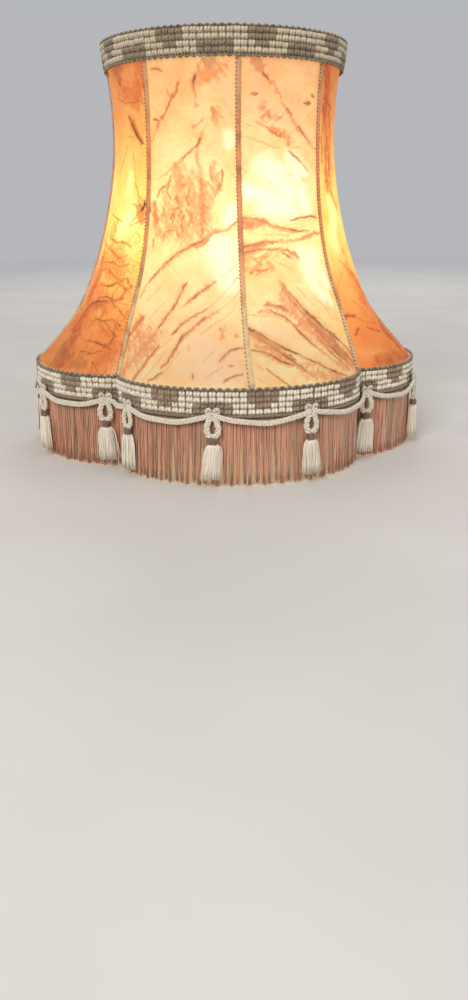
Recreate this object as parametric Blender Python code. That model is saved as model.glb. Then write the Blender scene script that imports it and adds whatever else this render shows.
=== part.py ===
"""Bell lamp shade: eight laced skin panels on a welded wire frame, trimmed with woven
braid, cut fringe, a swagged cord and hanging tassels. Metres, +Z up.

The origin is the centre of the fitter ring's underside, which rests on a lampholder.
The front centre seam faces -Y. In plan the foot of the bell is a quatrefoil: four
elliptical lobes, centred on -Y, +X, +Y and -X, that meet in four inward notches on the
diagonals. Higher up the lobes shrink until the section is round at the top ring.

Heights in the constants are above the rim line, where the sloping bell turns down into
a short vertical gallery. Offsets are horizontal distances outward from the skin's outer
face, and negative inward.
"""
import math

import bmesh
import bpy
from mathutils import Matrix, Vector

# Bell
SEAT_HEIGHT = 0.028
LOBES = 4
LOBE_SHIFT = 0.085
PROFILE = (
    # height, radius at a lobe's centre seam, radius at a notch seam
    (0.0000, 0.1594, 0.1309),
    (0.0400, 0.1250, 0.1163),
    (0.0800, 0.1067, 0.1005),
    (0.1205, 0.0953, 0.0925),
    (0.1610, 0.0891, 0.0899),
    (0.2010, 0.0894, 0.0904),
    (0.2410, 0.0945, 0.0945),
)
TOP_HEIGHT = PROFILE[-1][0]
GALLERY_DEPTH = 0.0200
GAP = 0.0003
HALF_LOBE_STEPS = 7

# Skin
SKIN = 0.0009
PANEL_ROWS = 12
PANEL_FOOT = 0.0005
SEAM_GAP = 0.0006

# Wire frame
RING_RADIUS = 0.0015
RIB_RADIUS = 0.00125
WIRE_SIDES = 6
RING_OFFSET = -(SKIN + GAP + RING_RADIUS)
RIB_LAP_OFFSET = RING_OFFSET - (RING_RADIUS + GAP + RIB_RADIUS)
RIB_SKIN_OFFSET = -(SKIN + GAP + RIB_RADIUS + 0.00005)
RIB_JOGGLE = 0.014
RIB_ROWS = 13
FITTER_INNER_RADIUS = 0.0205
FITTER_OUTER_RADIUS = 0.0280
FITTER_THICKNESS = 0.0020
FITTER_STEPS = 32
ARM_RADIUS = 0.0015
ARM_SIDES = 8
ARM_RIB_CLEARANCE = 0.0009

# Lacing over the seams
LACE_HALF_WIDTH = 0.0020
LACE_INNER = 0.0005
LACE_OUTER = 0.0018
LACE_FOOT = 0.0014
LACE_ROWS = 11

# Braid and fringe
BRAID_INNER = GAP
BRAID_OUTER = 0.0025
BRAID_DEPTH = 0.0210
TOP_BRAID_DEPTH = 0.0194
FRINGE_TOP = -(BRAID_DEPTH + 0.0004)
FRINGE_END = -0.0710
FRINGE_INNER = -0.0014
FRINGE_OUTER = 0.0012

# Swagged cord and tassels
CORD_RADIUS = 0.0018
CORD_OFFSET = 0.0055
CORD_HEIGHT = -0.0175
CORD_SAG = 0.0062
CORD_STEPS = 5
CORD_END_GAP = 0.0010
NOTCH_SLACK = 0.0130
TASSEL_COUNT = 14
FIRST_TASSEL = 0.0260
LAST_TASSEL = 0.0070
TASSEL_PITCH = 0.0735
TASSEL_DROP = 0.0005
LOOP_HALF_WIDTH = 0.0042
LOOP_HALF_HEIGHT = 0.0059
LOOP_STEPS = 12
SKIRT_SIDES = 10
TASSEL_SECTIONS = (
    # drop below the loop's top, half width, half depth: collar, then thread skirt
    (0.0144, 0.0034, 0.0030),
    (0.0194, 0.0034, 0.0030),
    (0.0198, 0.0040, 0.0030),
    (0.0235, 0.0052, 0.0032),
    (0.0450, 0.0070, 0.0034),
)

FINISHES = {
    # base colour, roughness, metallic
    "skin": ((0.93, 0.72, 0.45), 0.55, 0.0),
    "wire": ((0.78, 0.76, 0.70), 0.45, 0.3),
    "fitter": ((0.72, 0.60, 0.35), 0.35, 0.9),
    "lace": ((0.62, 0.50, 0.36), 0.80, 0.0),
    "braid": ((0.66, 0.62, 0.52), 0.85, 0.0),
    "fringe": ((0.55, 0.28, 0.18), 0.60, 0.0),
    "cord": ((0.78, 0.74, 0.62), 0.80, 0.0),
    "tassel": ((0.84, 0.80, 0.68), 0.70, 0.0),
}


def clear_scene():
    """Remove every object that the scene holds."""
    for item in list(bpy.data.objects):
        bpy.data.objects.remove(item, do_unlink=True)


def finish(name, slot):
    """A Principled material of its own for one sub-part."""
    colour, roughness, metallic = FINISHES[slot]
    material = bpy.data.materials.new(name)
    material.use_nodes = True
    shader = material.node_tree.nodes["Principled BSDF"]
    shader.inputs["Base Color"].default_value = (*colour, 1.0)
    shader.inputs["Roughness"].default_value = roughness
    shader.inputs["Metallic"].default_value = metallic
    return material


# ---------------------------------------------------------------- shape of the bell


def profile(height):
    """Radii at a lobe seam and a notch seam: a cubic through the profile's points."""
    height = min(max(height, 0.0), TOP_HEIGHT)
    last = len(PROFILE) - 2
    index = min(sum(height >= row[0] for row in PROFILE[1:]), last)
    low, high = PROFILE[index], PROFILE[index + 1]
    before = PROFILE[max(index - 1, 0)]
    after = PROFILE[min(index + 2, last + 1)]
    span = high[0] - low[0]
    t = (height - low[0]) / span
    radii = []
    for column in (1, 2):
        start = (high[column] - before[column]) / (high[0] - before[0]) * span
        end = (after[column] - low[column]) / (after[0] - low[0]) * span
        radii.append(
            low[column] * (2 * t**3 - 3 * t**2 + 1)
            + start * (t**3 - 2 * t**2 + t)
            + high[column] * (3 * t**2 - 2 * t**3)
            + end * (t**3 - t**2)
        )
    return radii


def lean(height):
    """Horizontal distance through the sloping skin for one unit square to it."""
    low = max(height - 0.001, 0.0)
    high = min(height + 0.001, TOP_HEIGHT)
    slope = (profile(high)[0] - profile(low)[0]) / (high - low)
    return math.sqrt(1.0 + slope**2)


def ellipse(height):
    """A lobe's elliptical arc: shift of its centre, reach outward and half width."""
    lobe, notch = profile(height)
    rim_spread = PROFILE[0][1] - PROFILE[0][2]
    shift = LOBE_SHIFT * (lobe - notch) / rim_spread
    reach = lobe - shift
    corner = notch * math.sqrt(0.5)
    half_width = corner / math.sqrt(1.0 - ((corner - shift) / reach) ** 2)
    return shift, reach, half_width


def bell_point(lobe, t, height, offset):
    """A point of the bell. t runs from -1 to 1 across the lobe, from notch to notch."""
    shift, reach, half_width = ellipse(height)
    reach += offset
    half_width += offset
    end = math.atan2(reach, half_width) + math.asin(shift / math.hypot(reach, half_width))
    forward = shift + reach * math.cos(t * end)
    side = half_width * math.sin(t * end)
    turn = lobe * math.tau / LOBES
    return Vector(
        (
            forward * math.sin(turn) + side * math.cos(turn),
            side * math.sin(turn) - forward * math.cos(turn),
            height - SEAT_HEIGHT,
        )
    )


def rim_length(offset, steps=400):
    """Running length across one lobe at the rim, at each of the steps from notch to notch."""
    points = [bell_point(0, 2 * i / steps - 1, 0.0, offset) for i in range(steps + 1)]
    lengths = [0.0]
    for start, end in zip(points, points[1:]):
        lengths.append(lengths[-1] + (end - start).length)
    return lengths


def rim_place(distance, offset):
    """Lobe number and t at a distance along the rim from the left front notch."""
    lengths = rim_length(offset)
    lobe, rest = divmod(distance, lengths[-1])
    index = sum(rest >= length for length in lengths[1:-1])
    part = (rest - lengths[index]) / (lengths[index + 1] - lengths[index])
    return int(lobe) % LOBES, 2 * (index + part) / (len(lengths) - 1) - 1


# ---------------------------------------------------------------- building blocks


def add(name, mesh, slot, place=None):
    """Add a mesh or a curve to the scene as one sub-part."""
    item = bpy.data.objects.new(name, mesh)
    if not mesh.materials:
        mesh.materials.append(finish(slot, slot))
    bpy.context.scene.collection.objects.link(item)
    if place is not None:
        item.matrix_world = place
    return item


def loft(name, loops, closed):
    """A mesh through loops of points: a closed ring of them, or a bar with two ends."""
    mesh = bpy.data.meshes.new(name)
    bm = bmesh.new()
    rows = [[bm.verts.new(point) for point in loop] for loop in loops]
    pairs = list(zip(rows, rows[1:] + rows[:1])) if closed else list(zip(rows, rows[1:]))
    for row, after in pairs:
        count = len(row)
        for i in range(count):
            k = (i + 1) % count
            bm.faces.new((row[i], row[k], after[k], after[i]))
    if not closed:
        bm.faces.new(rows[0])
        bm.faces.new(rows[-1])
    bmesh.ops.recalc_face_normals(bm, faces=bm.faces)
    bm.to_mesh(mesh)
    bm.free()
    return mesh


def smooth(mesh, angle=40.0):
    """Shade a mesh smooth, with its corners kept sharp."""
    mesh.shade_smooth()
    mesh.set_sharp_from_angle(angle=math.radians(angle))


def band(name, slot, section):
    """A closed ring that follows the bell: its section is (offset, height) corners."""
    loops = []
    for lobe in range(LOBES):
        for step in range(2 * HALF_LOBE_STEPS):
            t = step / HALF_LOBE_STEPS - 1
            loops.append([bell_point(lobe, t, height, offset) for offset, height in section])
    mesh = loft(name, loops, closed=True)
    smooth(mesh)
    return add(name, mesh, slot)


def wire_section(offset, height):
    """The round section of a ring wire."""
    turns = [math.tau * i / WIRE_SIDES for i in range(WIRE_SIDES)]
    return [
        (offset + RING_RADIUS * math.cos(turn), height + RING_RADIUS * math.sin(turn))
        for turn in turns
    ]


def tube(name, points, radius, resolution, cyclic=False):
    """A curve with a round bevel and filled caps."""
    curve = bpy.data.curves.new(name, "CURVE")
    curve.dimensions = "3D"
    curve.bevel_depth = radius
    curve.bevel_resolution = resolution
    curve.use_fill_caps = True
    spline = curve.splines.new("POLY")
    spline.points.add(len(points) - 1)
    for target, point in zip(spline.points, points):
        target.co = (*point, 1.0)
    spline.use_cyclic_u = cyclic
    return curve


# ---------------------------------------------------------------- frame


def rib_offset(height):
    """How far in a rib's centre lies: on the skin midway, inside the rings at both ends."""
    near_top = (height - (TOP_HEIGHT - RIB_JOGGLE)) / RIB_JOGGLE
    near_rim = (RIB_JOGGLE - height) / RIB_JOGGLE
    blend = min(max(near_top, near_rim, 0.0), 1.0)
    blend = blend * blend * (3 - 2 * blend)
    free = RIB_SKIN_OFFSET * lean(height)
    return free + blend * (RIB_LAP_OFFSET - free)


def rib_points(lobe, t):
    """Centre line of a rib, from the top ring down the bell and through the gallery."""
    top = TOP_HEIGHT - 0.0005
    bends = (0.012, 0.006, 0.0)
    lowest = bends[0] + 0.008
    heights = [top + (lowest - top) * i / RIB_ROWS for i in range(RIB_ROWS + 1)]
    heights.insert(1, TOP_HEIGHT - RIB_JOGGLE / 2)
    heights.extend(bends)
    points = [bell_point(lobe, t, height, rib_offset(height)) for height in heights]
    foot = bell_point(lobe, t, 0.0, RIB_LAP_OFFSET)
    foot.z -= GALLERY_DEPTH - GAP
    return points + [foot]


def make_frame():
    """Three rings, eight ribs, and the fitter ring with its four arms."""
    top_centre = TOP_HEIGHT - RING_RADIUS
    band("top_ring", "wire", wire_section(RING_OFFSET, top_centre))
    band("upper_rim_ring", "wire", wire_section(RING_OFFSET, -RING_RADIUS))
    band("lower_rim_ring", "wire", wire_section(RING_OFFSET, RING_RADIUS - GALLERY_DEPTH))
    for index in range(2 * LOBES):
        lobe, t = index // 2, index % 2
        name = f"rib_{index + 1}"
        add(name, tube(name, rib_points(lobe, t), RIB_RADIUS, 1), "wire")

    corners = (
        (FITTER_INNER_RADIUS, 0.0),
        (FITTER_OUTER_RADIUS, 0.0),
        (FITTER_OUTER_RADIUS, FITTER_THICKNESS),
        (FITTER_INNER_RADIUS, FITTER_THICKNESS),
    )
    loops = []
    for step in range(FITTER_STEPS):
        turn = math.tau * step / FITTER_STEPS
        loops.append([(r * math.cos(turn), r * math.sin(turn), z) for r, z in corners])
    ring = loft("fitter_ring", loops, closed=True)
    smooth(ring)
    add("fitter_ring", ring, "fitter")
    make_arms()


def make_arms():
    """Four arms on the diagonals, from the fitter ring out to the notch ribs."""
    arm_height = SEAT_HEIGHT + FITTER_THICKNESS / 2
    notch_rib = bell_point(0, 1, arm_height, rib_offset(arm_height))
    start = FITTER_OUTER_RADIUS + GAP
    end = math.hypot(notch_rib.x, notch_rib.y) - RIB_RADIUS - ARM_RIB_CLEARANCE
    mesh = bpy.data.meshes.new("fitter_arm")
    bm = bmesh.new()
    bmesh.ops.create_cone(
        bm,
        cap_ends=True,
        segments=ARM_SIDES,
        radius1=ARM_RADIUS,
        radius2=ARM_RADIUS,
        depth=end - start,
        matrix=Matrix.Translation(((start + end) / 2, 0.0, 0.0)) @ Matrix.Rotation(math.pi / 2, 4, "Y"),
    )
    bm.to_mesh(mesh)
    bm.free()
    smooth(mesh)
    for index in range(LOBES):
        turn = math.tau * (index - 0.5) / LOBES
        place = Matrix.Translation((0.0, 0.0, FITTER_THICKNESS / 2)) @ Matrix.Rotation(turn, 4, "Z")
        add(f"fitter_arm_{index + 1}", mesh, "wire", place)


# ---------------------------------------------------------------- covering


def make_panels():
    """Eight skin panels, each from a notch seam to a lobe's centre seam."""
    for index in range(2 * LOBES):
        lobe, half = index // 2, index % 2
        loops = []
        for row in range(PANEL_ROWS + 1):
            part = row / PANEL_ROWS
            height = TOP_HEIGHT + (PANEL_FOOT - TOP_HEIGHT) * (1 - (1 - part) ** 1.3)
            trim = SEAM_GAP / 2 / (rim_width(height) / 2)
            stops = [trim + (1 - 2 * trim) * i / HALF_LOBE_STEPS for i in range(HALF_LOBE_STEPS + 1)]
            across = [stop - 1 + half for stop in stops]
            outer = [bell_point(lobe, t, height, 0.0) for t in across]
            inner = [bell_point(lobe, t, height, -SKIN * lean(height)) for t in across]
            loops.append(outer + inner[::-1])
        name = f"panel_{index + 1}"
        mesh = loft(name, loops, closed=False)
        smooth(mesh)
        add(name, mesh, "skin")


def rim_width(height):
    """Length across one lobe at a height, from its two straight halves."""
    middle = bell_point(0, 0, height, 0.0)
    return 2 * (bell_point(0, 1, height, 0.0) - middle).length


def make_gallery():
    """The strip of skin round the vertical gallery, between the two rim rings."""
    top, foot = -GAP, -GALLERY_DEPTH
    band("gallery_band", "skin", ((-SKIN, foot), (0.0, foot), (0.0, top), (-SKIN, top)))


def make_lacing():
    """A flat bead of lacing over each seam, bent to the skin on both sides."""
    head = TOP_HEIGHT - TOP_BRAID_DEPTH - GAP
    for index in range(2 * LOBES):
        lobe, at = index // 2, index % 2
        loops = []
        for row in range(LACE_ROWS + 1):
            height = head + (LACE_FOOT - head) * row / LACE_ROWS
            reach = LACE_HALF_WIDTH / (rim_width(height) / 2)
            loops.append(
                [seam_point(lobe, at, side * reach, height, LACE_INNER) for side in (-1, 0, 1)]
                + [seam_point(lobe, at, side * reach, height, LACE_OUTER) for side in (0.8, 0, -0.8)]
            )
        name = f"seam_lace_{index + 1}"
        mesh = loft(name, loops, closed=False)
        smooth(mesh)
        add(name, mesh, "lace")


def seam_point(lobe, at, across, height, offset):
    """A point beside a seam, which may lie past the notch in the next lobe."""
    t = at + across
    offset *= lean(height)
    if t > 1:
        return bell_point(lobe + 1, t - 2, height, offset)
    return bell_point(lobe, t, height, offset)


# ---------------------------------------------------------------- trimming


def make_braids():
    """The top braid follows the flare of the bell's head; the bottom one covers the gallery."""
    head, foot = TOP_HEIGHT, TOP_HEIGHT - TOP_BRAID_DEPTH
    middle = (head + foot) / 2
    inner = [(BRAID_INNER, height) for height in (head, middle, foot)]
    outer = [(BRAID_OUTER, height) for height in (foot, middle, head)]
    band("top_braid", "braid", inner + outer)
    band(
        "bottom_braid",
        "braid",
        (
            (BRAID_INNER, -BRAID_DEPTH),
            (BRAID_OUTER, -BRAID_DEPTH),
            (BRAID_OUTER, 0.0),
            (BRAID_INNER, 0.0),
        ),
    )


def make_fringe():
    """The cut fringe under the gallery, as one thin hanging band."""
    band(
        "fringe",
        "fringe",
        (
            (FRINGE_INNER, FRINGE_END),
            (FRINGE_OUTER, FRINGE_END),
            (FRINGE_OUTER, FRINGE_TOP),
            (FRINGE_INNER, FRINGE_TOP),
        ),
    )


def tassel_stations():
    """Distances of the tassels along the rim, from the left front notch.

    They follow the braid's repeat, which loses a little at each notch that it turns.
    The last two stand where the trimming's two ends meet at the left front notch.
    """
    lobe_length = rim_length(CORD_OFFSET)[-1]
    stations = []
    for index in range(TASSEL_COUNT - 1):
        station = FIRST_TASSEL + index * TASSEL_PITCH
        notches = 0
        while station + notches * NOTCH_SLACK > (notches + 1) * lobe_length - NOTCH_SLACK:
            notches += 1
        stations.append(station + notches * NOTCH_SLACK)
    stations.append(LOBES * lobe_length - LAST_TASSEL)
    return stations


def rim_point(distance, height):
    """A point on the cord's line round the rim."""
    lobe, t = rim_place(distance, CORD_OFFSET)
    point = bell_point(lobe, t, 0.0, CORD_OFFSET)
    point.z = height - SEAT_HEIGHT
    return point


def make_cord(stations):
    """One cord, stitched up at each tassel and sagging between them."""
    total = LOBES * rim_length(CORD_OFFSET)[-1]
    stops = stations + [stations[0] + total]
    points = []
    for start, end in zip(stops, stops[1:]):
        sag = CORD_SAG * min((end - start) / TASSEL_PITCH, 1.0)
        for step in range(CORD_STEPS):
            part = step / CORD_STEPS
            drop = sag * (1 - math.cos(math.tau * part)) / 2
            points.append(rim_point(start + part * (end - start), CORD_HEIGHT - drop))
    points.append(rim_point(stops[-1] - CORD_END_GAP - 2 * CORD_RADIUS, CORD_HEIGHT))
    add("swag_cord", tube("swag_cord", points, CORD_RADIUS, 2), "cord")


def tassel_mesh():
    """A cord loop, a bound collar and a thread skirt, united. Its top is the hinge line."""
    loop_centre = -(CORD_RADIUS + LOOP_HALF_HEIGHT)
    turns = [math.tau * i / LOOP_STEPS for i in range(LOOP_STEPS)]
    points = [
        (LOOP_HALF_WIDTH * math.sin(turn), 0.0, loop_centre + LOOP_HALF_HEIGHT * math.cos(turn))
        for turn in turns
    ]
    curve = bpy.data.objects.new("loop", tube("loop", points, CORD_RADIUS, 1, cyclic=True))
    loop = bpy.data.objects.new("loop_solid", bpy.data.meshes.new_from_object(curve))

    rings = []
    for drop, half_width, half_depth in TASSEL_SECTIONS:
        ring = []
        for side in range(SKIRT_SIDES):
            turn = math.tau * side / SKIRT_SIDES
            ring.append((half_width * math.cos(turn), half_depth * math.sin(turn), -drop))
        rings.append(ring)
    skirt = bpy.data.objects.new("skirt_solid", loft("skirt", rings, closed=False))

    for item in (loop, skirt):
        bpy.context.scene.collection.objects.link(item)
    union = skirt.modifiers.new("union", "BOOLEAN")
    union.operation = "UNION"
    union.object = loop
    graph = bpy.context.evaluated_depsgraph_get()
    mesh = bpy.data.meshes.new_from_object(skirt.evaluated_get(graph))
    for item in (curve, loop, skirt):
        bpy.data.objects.remove(item, do_unlink=True)
    mesh.materials.clear()
    smooth(mesh)
    return mesh


def make_tassels(stations):
    """A tassel under the cord at each station, facing square to the rim there."""
    mesh = tassel_mesh()
    top = CORD_HEIGHT - CORD_RADIUS - TASSEL_DROP
    for index, station in enumerate(stations):
        before = rim_point(station - 0.001, top)
        after = rim_point(station + 0.001, top)
        along = after - before
        turn = math.atan2(along.y, along.x)
        place = Matrix.Translation(rim_point(station, top)) @ Matrix.Rotation(turn, 4, "Z")
        add(f"tassel_{index + 1}", mesh, "tassel", place)


def main():
    clear_scene()
    make_frame()
    make_panels()
    make_gallery()
    make_lacing()
    make_braids()
    make_fringe()
    stations = tassel_stations()
    make_cord(stations)
    make_tassels(stations)


main()
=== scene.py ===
"""Looks of the bell lamp shade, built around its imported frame.

Metres, +Z up, in the frame's own axes: the origin is the centre of the fitter ring's
underside, and the front centre seam faces -Y. Heights in the code are above the rim
line, where the bell turns down into its short gallery. Offsets are horizontal distances
outward from the skin. Distances run along the rim from the left front notch.
"""
import math

import bpy
import numpy as np
from mathutils import Matrix, Vector


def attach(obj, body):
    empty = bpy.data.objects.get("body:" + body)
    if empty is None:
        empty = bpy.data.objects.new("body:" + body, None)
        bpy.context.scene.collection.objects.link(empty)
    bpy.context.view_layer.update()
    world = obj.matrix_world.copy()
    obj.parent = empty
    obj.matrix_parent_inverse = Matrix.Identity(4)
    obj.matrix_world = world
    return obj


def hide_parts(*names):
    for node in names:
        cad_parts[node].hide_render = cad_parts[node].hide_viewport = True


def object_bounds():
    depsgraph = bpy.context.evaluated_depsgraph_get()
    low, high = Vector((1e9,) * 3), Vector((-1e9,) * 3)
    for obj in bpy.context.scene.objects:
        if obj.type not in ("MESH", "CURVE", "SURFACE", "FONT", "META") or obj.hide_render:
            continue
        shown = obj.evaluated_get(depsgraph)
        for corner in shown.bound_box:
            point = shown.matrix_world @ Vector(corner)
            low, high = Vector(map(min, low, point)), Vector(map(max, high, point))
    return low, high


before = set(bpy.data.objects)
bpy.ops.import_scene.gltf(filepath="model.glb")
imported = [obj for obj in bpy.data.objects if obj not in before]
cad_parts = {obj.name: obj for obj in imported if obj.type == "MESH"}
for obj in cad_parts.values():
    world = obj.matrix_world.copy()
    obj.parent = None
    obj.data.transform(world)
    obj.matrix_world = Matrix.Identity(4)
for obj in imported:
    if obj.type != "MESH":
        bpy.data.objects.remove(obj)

cad_low, cad_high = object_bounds()

# ---------------------------------------------------------------- camera

# A least-squares fit to points on the reference's seams, rims and outline gave the camera,
# and with it the radii in PROFILE.
CAMERA_AT = (-0.08773, -0.77606, 0.09405)
CAMERA_PAN = 0.112596  # radians, like the three below
CAMERA_YAW = 0.00796794
CAMERA_TILT = 0.3169454
CAMERA_ROLL = -0.00506981
FOCAL_PIXELS = 896.108
FRAME_HEIGHT = 1000
SENSOR = 36.0


def make_camera():
    """The camera at the reference's viewing angle."""
    yaw, tilt, roll = CAMERA_YAW, CAMERA_TILT, CAMERA_ROLL
    level = math.cos(tilt)
    ahead = Vector((math.sin(yaw) * level, math.cos(yaw) * level, -math.sin(tilt)))
    right = Vector((math.cos(yaw), -math.sin(yaw), 0.0))
    up = right.cross(ahead)
    across = right * math.cos(roll) + up * math.sin(roll)
    above = up * math.cos(roll) - right * math.sin(roll)
    turn = Matrix.Rotation(-CAMERA_PAN, 3, "Z")
    axes = [turn @ axis for axis in (across, above, -ahead)]
    data = bpy.data.cameras.new("camera")
    data.sensor_width = SENSOR
    data.lens = FOCAL_PIXELS / FRAME_HEIGHT * SENSOR
    data.clip_start = 0.01
    camera = bpy.data.objects.new("camera", data)
    camera.matrix_world = Matrix.Translation(CAMERA_AT) @ Matrix(axes).transposed().to_4x4()
    bpy.context.scene.collection.objects.link(camera)
    bpy.context.scene.camera = camera


make_camera()

# ---------------------------------------------------------------- shape of the bell

SEAT_HEIGHT = 0.028
LOBES = 4
LOBE_SHIFT = 0.085
PROFILE = np.array(
    (
        # height, radius at a lobe's centre seam, radius at a notch seam
        (0.0000, 0.1594, 0.1309),
        (0.0400, 0.1250, 0.1163),
        (0.0800, 0.1067, 0.1005),
        (0.1205, 0.0953, 0.0925),
        (0.1610, 0.0891, 0.0899),
        (0.2010, 0.0894, 0.0904),
        (0.2410, 0.0945, 0.0945),
    )
)
TOP_HEIGHT = PROFILE[-1, 0]
TOP_BRAID_DEPTH = 0.0194
CORD_OFFSET = 0.0055
FIRST_TASSEL = 0.0260
LAST_TASSEL = 0.0070
TASSEL_PITCH = 0.0735
NOTCH_SLACK = 0.0130
TASSEL_COUNT = 14
rng = np.random.default_rng(20)


def profile(height):
    """Radii at a lobe seam and at a notch seam, by a cubic through the profile's points."""
    height = np.clip(height, 0.0, TOP_HEIGHT)
    last = len(PROFILE) - 2
    index = np.clip(np.searchsorted(PROFILE[:, 0], height, side="right") - 1, 0, last)
    low, high = PROFILE[index], PROFILE[index + 1]
    before = PROFILE[np.maximum(index - 1, 0)]
    after = PROFILE[np.minimum(index + 2, last + 1)]
    span = high[..., 0] - low[..., 0]
    t = (height - low[..., 0]) / span
    radii = []
    for column in (1, 2):
        start = (high[..., column] - before[..., column]) / (high[..., 0] - before[..., 0]) * span
        end = (after[..., column] - low[..., column]) / (after[..., 0] - low[..., 0]) * span
        radii.append(
            low[..., column] * (2 * t**3 - 3 * t**2 + 1)
            + start * (t**3 - 2 * t**2 + t)
            + high[..., column] * (3 * t**2 - 2 * t**3)
            + end * (t**3 - t**2)
        )
    return radii


def lean(height):
    """Horizontal distance through the sloping skin for one unit square to it."""
    low = np.maximum(height - 0.001, 0.0)
    high = np.minimum(height + 0.001, TOP_HEIGHT)
    slope = (profile(high)[0] - profile(low)[0]) / (high - low)
    return np.sqrt(1.0 + slope**2)


def bell(lobe, t, height, offset):
    """Points of the bell for arrays of lobe numbers, places across the lobe and heights."""
    lobe_radius, notch_radius = profile(height)
    shift = LOBE_SHIFT * (lobe_radius - notch_radius) / (PROFILE[0, 1] - PROFILE[0, 2])
    reach = lobe_radius - shift
    corner = notch_radius * math.sqrt(0.5)
    half_width = corner / np.sqrt(1.0 - ((corner - shift) / reach) ** 2) + offset
    reach = reach + offset
    end = np.arctan2(reach, half_width) + np.arcsin(shift / np.hypot(reach, half_width))
    forward = shift + reach * np.cos(t * end)
    side = half_width * np.sin(t * end)
    turn = lobe * math.tau / LOBES
    x = forward * np.sin(turn) + side * np.cos(turn)
    y = side * np.sin(turn) - forward * np.cos(turn)
    z = height - SEAT_HEIGHT + np.zeros_like(x)
    return np.stack(np.broadcast_arrays(x, y, z), axis=-1)


RIM_T = np.linspace(-1, 1, 801)
_rim = bell(0, RIM_T, 0.0, CORD_OFFSET)
RIM_RUN = np.concatenate([[0.0], np.cumsum(np.linalg.norm(np.diff(_rim, axis=0), axis=1))])
LOBE_RUN = RIM_RUN[-1]
RIM_TOTAL = LOBES * LOBE_RUN
HEAD_TOTAL = math.tau * PROFILE[-1, 1]
RIM_STEPS = 480
HEAD_STEPS = 240


def rim(distance, height, offset):
    """Points on the vertical gallery and the trimming that hangs on it."""
    lobe = np.floor(distance / LOBE_RUN)
    t = np.interp(distance - lobe * LOBE_RUN, RIM_RUN, RIM_T)
    points = bell(lobe, t, np.zeros_like(t), offset)
    points[..., 2] = height - SEAT_HEIGHT
    return points


def head(distance, height, offset):
    """Points on the flared head of the bell, whose length round is taken at its top."""
    lobe, rest = np.divmod(distance / HEAD_TOTAL * LOBES, 1.0)
    return bell(lobe, 2 * rest - 1, height, offset)


def tassel_stations():
    """Distances of the tassels along the rim: one repeat of the braid apart."""
    stations = []
    for index in range(TASSEL_COUNT - 1):
        station = FIRST_TASSEL + index * TASSEL_PITCH
        notches = 0
        while station + notches * NOTCH_SLACK > (notches + 1) * LOBE_RUN - NOTCH_SLACK:
            notches += 1
        stations.append(station + notches * NOTCH_SLACK)
    return np.array(stations + [RIM_TOTAL - LAST_TASSEL])


STATIONS = tassel_stations()

# ---------------------------------------------------------------- meshes

LEVEL = (1.0, 1.0, 0.0)


def unit(vectors):
    return vectors / np.linalg.norm(vectors, axis=-1, keepdims=True)


def grid_quads(rows, columns, closed_rows=False, closed_columns=True):
    """Quads of a grid of points that is stored row by row."""
    i = np.arange(rows if closed_rows else rows - 1)[:, None]
    k = np.arange(columns if closed_columns else columns - 1)[None]
    after, beside = (i + 1) % rows, (k + 1) % columns
    corners = ((i, k), (after, k), (after, beside), (i, beside))
    return np.stack([row * columns + column for row, column in corners], axis=-1).reshape(-1, 4)


INSIDE_OUT = [0, 3, 2, 1]  # a quad's corners the other way round


def end_caps(rows, columns):
    """The faces that close the first and last row of a tube's points."""
    ring = np.arange(columns)
    return np.stack([ring, (rows - 1) * columns + ring[::-1]])


def crosswise(line, out, closed=False):
    """Directions across a line, level with the cloth that out points away from."""
    if closed:
        along = np.roll(line, -1, axis=0) - np.roll(line, 1, axis=0)
    else:
        along = np.gradient(line, axis=0)
    return np.cross(unit(along), out)


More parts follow.
